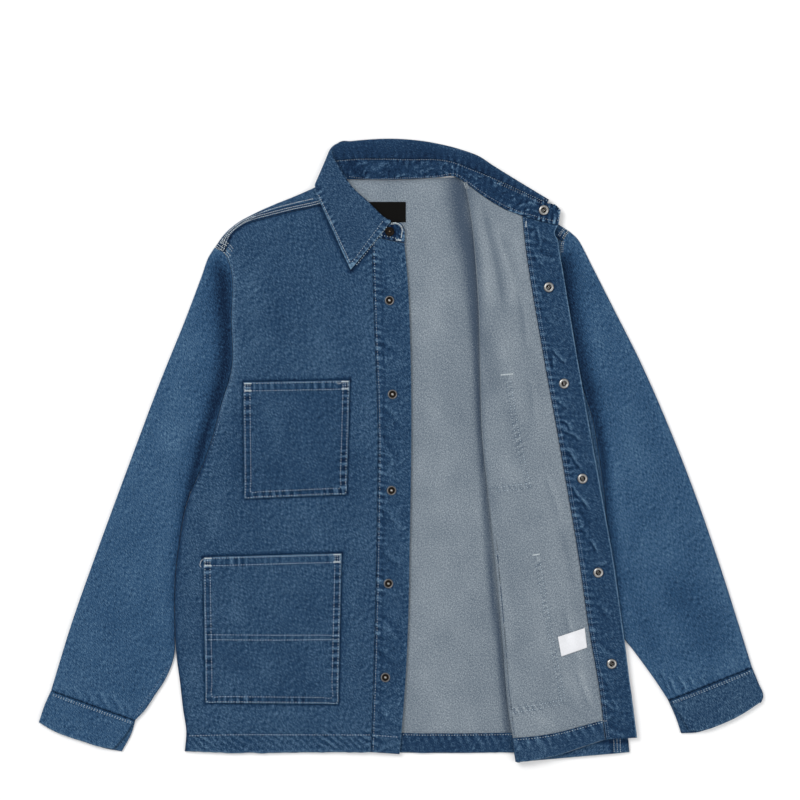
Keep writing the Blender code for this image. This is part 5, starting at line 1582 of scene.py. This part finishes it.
def buildLeftPocket(node):
    # inside the fold, on the turned front's outer face, so it is folded too
    topY, bottomY, topWidth, bottomWidth, wholeWidth, area, flat = leftPockets[node]
    lowColumns, rollColumns, highColumns = 6, 6, 8
    grid = leftFrontGrid(1, lowColumns, rollColumns, highColumns)
    outside = grid - cloth["step"] * surfaceNormals(grid)
    rollEnd = lowColumns + rollColumns
    ends = np.interp([bottomY, topY], grid[:, lowColumns, 1], np.arange(len(grid)))
    count = 30
    rows = np.linspace(ends[0], ends[1], count)
    near = np.round(rows).astype(int)
    highWidth = np.linspace(bottomWidth, topWidth, count)
    lowWidth = wholeWidth - highWidth - 9.0
    highStep = np.linalg.norm(grid[near, -1] - grid[near, rollEnd], axis=1) / highColumns
    lowStep = np.linalg.norm(grid[near, 0] - grid[near, lowColumns], axis=1) / lowColumns
    lowPart = lowColumns - np.linspace(1, 0, 14)[None] * (lowWidth / lowStep)[:, None]
    rollPart = np.broadcast_to(np.linspace(lowColumns, rollEnd, 9)[1:-1][None], (count, 7))
    highPart = rollEnd + np.linspace(0, 1, 10)[None] * (highWidth / highStep)[:, None]
    columns = np.concatenate([lowPart, rollPart, highPart], axis=1)
    panel = readGrid(outside, rows[:, None], columns)
    name = "leftChestPocketCloth" if "chest" in node else "leftLowerPocketCloth"
    clothPiece(name, [layer(panel, 0.0, arcWeave(panel))], [(0.5, 0.05, 1)], cloth["ply"], [denimOutside], node)


# labels, left bare

labels = {
    "neck": (-50, 7.5, 297, 323.5),
    "sideCorners": [(205, -242), (240, -230.5), (243, -256), (209.5, -267.5)],
    "thick": 0.5,
}


def heightAt(grid, plan):
    rows = np.linspace(0, grid.shape[0] - 1, 240)[:, None]
    columns = np.linspace(0, grid.shape[1] - 1, 60)[None]
    fine = readGrid(grid[..., :3], rows, columns).reshape(-1, 3)
    flat = np.asarray(plan, float)[..., :2].reshape(-1, 2)
    found = np.concatenate([fine[np.linalg.norm(fine[None, :, :2] - part[:, None], axis=-1).argmin(axis=1),
        2] for part in np.array_split(flat, 12)])
    return found.reshape(np.asarray(plan).shape[:-1])


def buildLabels():
    left, right, low, high = labels["neck"]
    x, y = np.meshgrid(np.linspace(left, right, 40), np.linspace(low, high, 22))
    plan = np.stack([x, y], axis=-1)
    grid = withHeight(plan, backHeight(plan) + 0.6 + 0.3 + labels["thick"] / 2)
    height, tone = relief(grid, waves=0.2, seed=161)
    grid = lift(grid, np.maximum(height, 0))
    full = layer(grid, tone, planWeave(grid))
    carry("neckLabel", full, labels["thick"])
    clothPiece("neckLabelCloth", [full], [(0.5, 0.5, 1)], labels["thick"], [blackTape], "neck_label")
    corners = [np.array(corner, float) for corner in labels["sideCorners"]]
    shares = np.linspace(0, 1, 26)[:, None]
    bottom, top = corners[3] + shares * (corners[2] - corners[3]), corners[0] + shares * (corners[1] - corners[0])
    plan = bottom[None] + np.linspace(0, 1, 20)[:, None, None] * (top - bottom)[None]
    grid = withHeight(plan, heightAt(carriers["leftOpen"][0], plan) + (1.2 + labels["thick"]) / 2 + 0.3)
    # a fold across the label, lighter on its ridge as painted light
    height, tone = relief(grid, folds=[((corners[0] * 0.6 + corners[1] * 0.4, corners[3] * 0.5 + corners[2] * 0.5),
        5, 0.5, 0.5)], waves=0.25, seed=171)
    grid = lift(grid, np.maximum(height, 0) + 0.15)
    full = layer(grid, tone, arcWeave(grid))
    clothPiece("sideLabelCloth", [full], [(0.5, 0.5, 1)], labels["thick"], [whiteTape], "side_label")


frontPlan = buildRightFront()
buildRightPlacket(frontPlan)
print("right front made")
leftGrid = buildLeftFront()
buildLeftFrontHem(leftGrid)
buildLeftPlacket(leftGrid)
print("left front made")
buildBack()
buildBackHem()
print("back made")
for side in ("right", "left"):
    buildSleeve(side)
    buildCuff(side)
print("sleeves made")
buildStand()
buildLeaf()
for name in ("chest", "lower"):
    buildRightPocket(name)
for node in leftPockets:
    buildLeftPocket(node)
buildLabels()
print("collar, pockets and labels made")


# sewing

strand = {
    "sides": 5,
    # place along its length, fullness and height over the cloth in shares of its radius, of each ring
    "rings": [(-0.5, 0.0, -0.45), (-0.36, 0.85, 0.25), (0.0, 1.0, 0.55), (0.36, 0.85, 0.25), (0.5, 0.0, -0.45)],
}
stitches = {}


def onCarrier(name, places):
    # nearest grid point, found coarsely and then close by, with the height carried on along its plane
    grid, normals, half = carriers[name]
    step = 6
    coarse = grid[::step, ::step, :2]
    flat = coarse.reshape(-1, 2)
    near = np.linalg.norm(flat[None] - places[:, None], axis=-1).argmin(axis=1)
    r0, c0 = np.unravel_index(near, coarse.shape[:2])
    offsets = np.arange(-step, step + 1)
    rows = np.clip(r0[:, None, None] * step + offsets[None, :, None], 0, grid.shape[0] - 1)
    columns = np.clip(c0[:, None, None] * step + offsets[None, None, :], 0, grid.shape[1] - 1)
    away = np.linalg.norm(grid[rows, columns, :2] - places[:, None, None], axis=-1).reshape(len(places), -1)
    best = away.argmin(axis=1)
    br, bc = np.unravel_index(best, (len(offsets), len(offsets)))
    rows, columns = rows[np.arange(len(places)), br, 0], columns[np.arange(len(places)), 0, bc]
    point, normal = grid[rows, columns], normals[rows, columns]
    up = np.where(np.abs(normal[:, 2]) < 0.2, 0.2, normal[:, 2])
    height = point[:, 2] - ((places - point[:, :2]) * normal[:, :2]).sum(axis=1) / up
    return withHeight(places, height) + half * normal, normal


def sew(group, carrier, line, offset=0.0, pitch=3.5, length=1.55, radius=0.47, trim=(0, 0), finish="Pale", slant=0.0):
    # stitches of even pitch along a line, each a small arched strand lying on the cloth
    line = np.asarray(line, float)[:, :2]
    fine = run(line, 3.0) if len(line) < 60 else line
    if offset:
        fine = moved(fine, offset)
    along = np.concatenate([[0], np.cumsum(lengths(np.diff(fine, axis=0)))])
    sewn = along[-1] - sum(trim)
    count = max(1, int(sewn / pitch))
    at = trim[0] + (np.arange(count) + 0.5) * sewn / count

    def placesAt(at):
        return np.stack([np.interp(at, along, fine[:, i]) for i in (0, 1)], axis=1)

    way = placesAt(at + 0.8) - placesAt(at - 0.8)
    way = way / np.maximum(lengths(way), 1e-6)[:, None]
    rng = np.random.default_rng(int(abs(fine[0, 0] * 13 + fine[0, 1] * 7)) + count)
    angle = math.radians(slant) + rng.normal(0, 0.04, count)
    c, s = np.cos(angle), np.sin(angle)
    way = np.stack([way[:, 0] * c - way[:, 1] * s, way[:, 0] * s + way[:, 1] * c], axis=1)
    places = placesAt(at) + rng.normal(0, 0.08, (count, 2))
    long, thick = length * rng.uniform(0.9, 1.08, count), radius * rng.uniform(0.9, 1.1, count)
    addStrands(group, carrier, places, way, long, thick, rng.uniform(-0.5, 0.5, count), finish)


def ringFaces(sides, rings):
    # triangles of a closed body: rings of points between two single points
    ring = np.arange(sides)
    following = (ring + 1) % sides
    end = 1 + rings * sides
    tris = [np.stack([0 * ring, 1 + following, 1 + ring], axis=1)]
    for a in range(1, end - sides, sides):
        b = a + sides
        tris.append(np.stack([a + ring, a + following, b + following], axis=1))
        tris.append(np.stack([a + ring, b + following, b + ring], axis=1))
    last = end - sides
    tris.append(np.stack([last + ring, last + following, 0 * ring + end], axis=1))
    return np.concatenate(tris)


def addStrands(group, carrier, places, way, length, radius, tone, finish):
    # rings of points round an arched strand: thin and sunk at both ends, full in the middle
    points, normal = onCarrier(carrier, places)
    forward = withHeight(way, 0.0)
    forward = unit(forward - (forward * normal).sum(axis=1)[:, None] * normal)
    beside = np.cross(normal, forward)
    turn = np.arange(strand["sides"]) / strand["sides"] * 2 * math.pi
    around = np.cos(turn)[:, None] * beside[:, None] + np.sin(turn)[:, None] * normal[:, None] * 0.8
    parts = []
    for along, full, sunk in strand["rings"]:
        centre = points + (along * length)[:, None] * forward + (sunk * radius)[:, None] * normal
        parts.append(centre[:, None] + (full * radius)[:, None, None] * around if full else centre[:, None])
    block = np.concatenate(parts, axis=1)
    stitches.setdefault((group, finish), []).append((block, np.broadcast_to(tone[:, None], block.shape[:2])))


def joinStitches():
    # one mesh for each piece's stitches of one thread
    faces = ringFaces(strand["sides"], 3)
    per = 2 + 3 * strand["sides"]
    for (group, finish), blocks in stitches.items():
        points = np.concatenate([block for block, tone in blocks]).reshape(-1, 3)
        tones = np.concatenate([tone for block, tone in blocks]).reshape(-1)
        count = len(points) // per
        allFaces = (faces[None] + (np.arange(count) * per)[:, None, None]).reshape(-1, 3)
        name = group + "Thread" + finish
        mesh = meshOf(name, points, allFaces, tone=tones)
        mesh.materials.append(threads[finish])
        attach(placed(name, mesh), "root")
        print(name, count, "stitches")


def barTack(group, carrier, start, end, width=2.2):
    # close crosswise strands from one point to another
    start, end = np.asarray(start, float), np.asarray(end, float)
    length = lengths(end - start)
    count = max(3, int(length / 0.75))
    rng = np.random.default_rng(int(abs(start[0] * 3 + start[1])))
    places = start + (np.arange(count)[:, None] + 0.5) / count * (end - start)
    way = np.array([-(end - start)[1], (end - start)[0]]) / length
    ways = unit(np.broadcast_to(way, places.shape) + rng.normal(0, 0.08, places.shape))
    shades = rng.uniform(0, 0.5, count)
    addStrands(group, carrier, places, ways, np.full(count, width), np.full(count, 0.36), shades, "White")


close = {"pitch": 2.4, "length": 1.8, "finish": "White"}  # rows of short stitches where many threads meet


frayed = {"finish": "White"}  # loose and worn ends


# four rows round the armhole: places above and below the felled band's edge
armholeRows = [
    ([(215.6, 245.4), (222.4, 250.6)], [(222.9, 251.4), (228.6, 257.4)]),
    ([(217.1, 243.4), (224.2, 248.8)], [(225.0, 249.6), (229.9, 255.2)]),
    ([(219.6, 240.6), (226.4, 245.6)], [(227.3, 246.3), (231.6, 251.0)]),
    ([(221.2, 238.6), (228.0, 243.4)], [(229.0, 244.2), (232.6, 248.4)]),
]


shoulderTop = [(313, 198.3), (290, 203.3), (270, 208.8), (252, 215.5), (239, 222.5), (228.5, 231), (219, 242.5)]


def sewPocket(piece, name):
    # two rows round the outline and two along the mouth, tacked at the corners
    topOuter, topInner, lowInner, lowOuter = cornersOf(name)
    sew(piece, piece, pocketOutline(name, 1.6))
    sew(piece, piece, pocketOutline(name, 8.2), trim=(7, 7))
    for drop in (1.6, 11.2):
        sew(piece, piece, np.linspace(topOuter + (1.5, -drop), topInner + (-1.5, -drop), 30))
    for drop in (1.3, 10.9):
        barTack(piece, piece, topOuter + (1.2, -drop), topOuter + (10.5, -drop), 1.9)
        barTack(piece, piece, topInner + (-10.5, -drop), topInner + (-1.2, -drop), 1.9)
    for side in (2.4, 5.4, 8.4):
        for corner, shift in ((topOuter, side), (topInner, -side)):
            line = [corner + (shift, -2), corner + (shift, -11)]
            sew(piece, piece, line, pitch=2.6, length=1.7, radius=0.40, finish="White")


def sewRightFront():
    piece = "rightFront"
    shoulder = even(body["rightShoulderSeam"], 60)
    for offset in (-2.7, -5.5):
        sew(piece, "rightYoke", shoulder, offset, trim=(4, 1), radius=0.5, **close)
    upper = run(spot(shoulderTop), 6)
    sew(piece, "rightYoke", upper, 0, pitch=2.9, length=2.3, radius=0.46, finish="White")
    sew(piece, "rightYoke", upper, 2.0, trim=(78, 0), pitch=2.9, length=2.3, radius=0.42, finish="White")
    for above, below in armholeRows:  # they cross the felled band's end and sink into the crease
        sew(piece, "rightYoke", spot(above), pitch=2.3, length=1.9, radius=0.56, finish="White")
        sew(piece, "rightFront", spot(below), pitch=2.3, length=1.8, radius=0.42, finish="White")
    arm = bodyLine("right", 6)[: 9 * 6]
    sew(piece, "rightFront", arm, 2.6, trim=(22, 60), radius=0.38, finish="Blue")
    sew(piece, "rightFront", run(spot(rightFront["hemStitch"]), 4))
    for name in pockets:
        sewPocket(name + "Pocket", name)
    for line in ([(204.5, 634.2), (270, 634.7), (339.5, 634.7)], [(204.5, 639.2), (270, 639.6), (339.5, 639)]):
        sew("lowerPocket", "lowerPocket", spot(line))
    # loose ends by the pockets' top corners
    end = spot([(203.5, 558), (200.6, 560.5), (199.2, 564.5), (200.6, 567)])
    sew(piece, piece, end, pitch=2.2, length=2.6, radius=0.36, **frayed)
    end = spot([(336, 381), (338, 383.6), (341, 382.4)])
    sew("chestPocket", "chestPocket", end, pitch=1.9, length=2.2, radius=0.34, **frayed)
    grid = carriers["rightPlacket"][0]
    sew("rightPlacket", "rightPlacket", grid[::4, 0, :2], -2.4, trim=(2, 2), radius=0.36)
    sew("rightPlacket", "rightPlacket", [grid[0, 0, :2] + (2, 22), grid[0, -1, :2] + (-2, 22)])


def sewLeftFront():
    grid = carriers["leftPlacket"][0]
    for offset in (-1.5, -4.6):
        edge = grid[::4, 0, :2]
        sew("leftPlacket", "leftPlacket", edge, offset, pitch=2.6, length=1.6, radius=0.33, trim=(2, 2),
            finish="Blue")
    end = spot([(599.6, 719.6), (603, 720.4), (606.6, 720.2)])
    sew("leftPlacket", "leftPlacket", end, pitch=2.4, radius=0.42, **frayed)
    # the side seam's three rows on the strip that lies under the turned front
    for x in (613.2, 616.4, 619.6):
        line = spot([(x, 737.5), (x + 0.3, 745), (x + 0.6, 752)])
        sew("leftFront", "leftUnder", line, pitch=2.4, radius=0.42, finish="White")
    for pocket in pocketShow.values():
        for line in pocket["lines"]:
            fine = run(spot(line), 4)
            sew("leftFront", "leftOpen", fine, 2.6)
            sew("leftFront", "leftOpen", fine, -2.6)
    barTack("leftFront", "leftOpen", *spot([(500, 374.5), (512.5, 373.5)]))
    barTack("leftFront", "leftOpen", *spot([(532, 554.5), (539, 553.5)]))
    # worn threads where the roll meets the collar's seam
    for x, slant in ((463.6, 12), (465.2, -14), (466.4, 30)):
        line = spot([(x, 182), (x + 1.4, 188.5)])
        sew("leftFront", "leftOpen", line, pitch=2.1, length=2.4, radius=0.34, slant=slant, **frayed)
    sew("leftFront", "leftHem", carriers["leftHem"][0][-3, :, :2])
    sew("backHem", "backHem", carriers["backHem"][0][-3, :, :2])


standSeams = [
    # offset, radius and line of the close rows along the stand
    (-1.0, 0.36, [(334, 160), (353, 158.5), (403, 158.5), (453, 161.5), (469, 168), (486, 174.7), (519, 189.6),
        (544, 201)]),
    (0, 0.36, [(496, 182.4), (519, 192.9), (542, 203.4)]),
    (0, 0.37, [(348, 175.5), (361, 177.5), (395, 177.5), (436, 175.5), (456, 173.5), (465, 180), (480, 191),
        (500, 203.4), (519, 211.6), (535.6, 216.4), (555, 221.4)]),
]


def sewCollar():
    for offset, radius, line in standSeams:
        sew("collar", "stand", spot(line), offset, pitch=3.0, length=1.1, radius=radius)
    barTack("collar", "leftPlacket", *spot([(525.4, 221.2), (525.4, 227)]), 1.4)
    sew("collar", "stand", spot([(542, 198), (551, 203.5), (557.5, 207), (558.5, 212), (557, 221.5)]))
    sew("collar", "leafFall", spot(leaf["outerFront"]), trim=(2, 4))
    sew("collar", "leafFall", spot(leaf["innerFront"]), trim=(2, 4))
    sew("collar", "leafFall", spot(leaf["innerSide"]), trim=(2, 6), pitch=2.7, length=1.8)
    sew("collar", "stand", spot([(380, 234.5), (399.3, 238.6)]))
    for drop, slant in ((0.0, 0), (0.9, 24)):  # its raw end is worn to white threads
        line = spot([(390, 222.6 + drop), (397, 222.8 + drop), (401.6 - drop, 226.6), (402.6 - drop, 231)])
        sew("collar", "stand", line, pitch=1.7, length=2.2, radius=0.42, slant=slant, **frayed)
    barTack("collar", "stand", *spot([(395.5, 239.2), (401.0, 239.9)]))
    barTack("collar", "stand", *spot([(401.6, 231), (400.8, 237.5)]), 1.4)


def sewSleeves():
    for side in ("right", "left"):
        grid = carriers[side + "Cuff"][0]
        for row, radius in ((1, 0.46), (2, 0.38)):
            line = (grid[row, :, :2] + grid[row + 1, :, :2]) / 2
            sew(side + "Sleeve", side + "Cuff", line, trim=(1, 1), radius=radius)
    for shift in (2.2, 6.0):  # the underarm seam comes round to the front at the wrist
        line = spot([(171, 664), (158, 684), (146, 701), (138, 714)]) - (shift, 0.6 * shift)
        sew("rightSleeve", "rightSleeve", line, radius=0.34, finish="Blue")
    # two double rows beside the left armhole, closing in under the placket's edge
    for shift in (0.0, 2.2, 6.6, 8.8):
        line = spot([(569.4, 230.6), (565.6, 234.4), (563.0, 238.6)]) - (shift * 0.78, shift * -0.52)
        sew("leftSleeve", "leftYoke", line, radius=0.44, **close)
    for x in (561.2, 563.0):
        line = spot([(x + 0.8, 240), (x - 0.4, 245), (x - 0.6, 252)])
        sew("leftSleeve", "leftSleeve", line, radius=0.40, **close)


sewRightFront()
sewLeftFront()
sewCollar()
sewSleeves()
joinStitches()
print("sewing made")


# press fasteners

def turnedPiece(profile, finish, segments=36):
    # the profile turned about an upright axis; its two ends on the axis are single points
    profile = np.asarray(profile, float)
    turn = np.arange(segments) / segments * 2 * math.pi
    wide, high = profile[1:-1, :1], profile[1:-1, 1:]
    rings = np.stack([wide * np.cos(turn), wide * np.sin(turn), high + 0 * turn], axis=-1)
    vertices = np.concatenate([[[0, 0, profile[0, 1]]], rings.reshape(-1, 3), [[0, 0, profile[-1, 1]]]])
    spans = [segments] + [2 * segments] * (len(rings) - 1) + [segments]
    return vertices, ringFaces(segments, len(rings))[:, ::-1], np.repeat(finish, spans)


def metalPiece(name, parts, base, node):
    # parts: (vertices, triangles, finish numbers), joined into one mesh that stands on its base
    vertices, faces, finishes, start = [], [], [], 0
    for points, tris, finish in parts:
        vertices.append(points + base)
        faces.append(tris + start)
        finishes.append(finish)
        start += len(points)
    mesh = meshOf(name, np.concatenate(vertices), np.concatenate(faces))
    for material in (silverMetal, brassMetal, darkMetal, smokedMetal):
        mesh.materials.append(material)
    mesh.polygons.foreach_set("material_index", np.concatenate(finishes).astype(np.int32))
    piece = placed(name, mesh)
    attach(piece, "root")
    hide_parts(node)


def rod(start, end, radius, sides=8, rows=9):
    # a round wire between two points, closed with single points at its ends
    line = np.linspace(start, end, rows)
    forward = unit(end - start)
    beside = unit(np.cross([0, 0, 1.0], forward))
    up = np.cross(forward, beside)
    turn = np.arange(sides) / sides * 2 * math.pi
    around = np.cos(turn)[:, None] * beside + np.sin(turn)[:, None] * up
    vertices = np.concatenate([line[:1], (line[:, None] + radius * around[None]).reshape(-1, 3), line[-1:]])
    faces = ringFaces(sides, rows)
    return vertices, faces, np.zeros(len(faces), int)


def buildFasteners():
    for i, place in enumerate(studs["places"]):
        node = f"snap_stud_{i + 1}"
        parts = [turnedPiece(studs["profile"], studs["finish"] if i else studs["shaded"])]
        metalPiece(f"studCap{i + 1}", parts, (*place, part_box(node)[0].z * 1000), node)
    for i, place in enumerate(sockets["places"]):
        node = f"snap_socket_{i + 1}"
        parts = [turnedPiece(sockets["profile"], sockets["finish"])]
        angle = math.radians(35 + 23 * i)  # each one's two spring wires lie another way
        across = np.array([math.cos(angle), math.sin(angle), 0])
        side = np.array([-across[1], across[0], 0])
        for shift in (0.8, -0.8):
            middle = shift * side + (0, 0, 0.95)
            parts.append(rod(middle - 3.0 * across, middle + 3.0 * across, 0.28))
        metalPiece(f"socketCap{i + 1}", parts, (*place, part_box(node)[0].z * 1000), node)
    for i in range(len(studs["places"])):
        for node, finish in ((f"snap_post_{i + 1}", brassMetal), (f"snap_cap_{i + 1}", silverMetal)):
            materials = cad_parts[node].data.materials
            materials.clear()
            materials.append(finish)


buildFasteners()
print("fasteners made")

# floor, light and camera

stage = {
    "floorColour": (0.96, 0.96, 0.96),
    "floorSide": 6.0,  # metres from the middle
    "world": 0.62,
    "lights": {  # watts, place and size in metres
        "keyLight": (62.0, (-1.6, 1.5, 2.6), 1.6),
        "fillLight": (22.0, (1.8, -0.6, 2.4), 2.2),
    },
    "lens": 100,
    "cameraPlace": (0, 0.06565, 2.894),
}


def buildStage():
    side = np.linspace(-stage["floorSide"], stage["floorSide"], 25)
    x, y = np.meshgrid(side, side)
    plane = np.stack([x, y, 0 * x - 0.0004], axis=-1) * 1000
    mesh = meshOf("floorBoard", plane.reshape(-1, 3), gridFaces(25, 25, 0, False))
    material, tree, shader = newMaterial("floorPaint")
    cloud = noiseOn(tree, addNode(tree, "ShaderNodeTexCoord").outputs["Object"], (2, 2), 0, 2.0)
    colour = stage["floorColour"]
    colours = addNode(tree, "ShaderNodeValToRGB")
    stops = colours.color_ramp.elements
    stops[0].color = (*colour, 1)
    stops[1].color = (*[c + 0.01 for c in colour], 1)
    tree.links.new(cloud, colours.inputs["Fac"])
    tree.links.new(colours.outputs["Color"], shader.inputs["Base Color"])
    shader.inputs["Roughness"].default_value = 0.95
    shader.inputs["Specular IOR Level"].default_value = 0.05
    mesh.materials.append(material)
    placed("floorBoard", mesh)
    world = bpy.data.worlds.new("studio")
    world.use_nodes = True
    background = world.node_tree.nodes["Background"]
    background.inputs["Color"].default_value = (1, 1, 1, 1)
    background.inputs["Strength"].default_value = stage["world"]
    bpy.context.scene.world = world
    for name, (power, place, size) in stage["lights"].items():
        data = bpy.data.lights.new(name, "AREA")
        data.energy = power
        data.shape = "SQUARE"
        data.size = size
        light = placed(name, data)
        light.location = place
        light.rotation_mode = "QUATERNION"
        light.rotation_quaternion = (-Vector(place)).to_track_quat("-Z", "Y")  # towards the middle
    cameraData = bpy.data.cameras.new("camera")
    cameraData.lens = stage["lens"]
    cameraData.sensor_width = 36
    cameraData.clip_start = 0.05
    cameraData.clip_end = 30
    camera = placed("camera", cameraData)
    camera.location = stage["cameraPlace"]
    bpy.context.scene.camera = camera
    bpy.context.scene.view_settings.view_transform = "Standard"


buildStage()
bpy.context.view_layer.update()
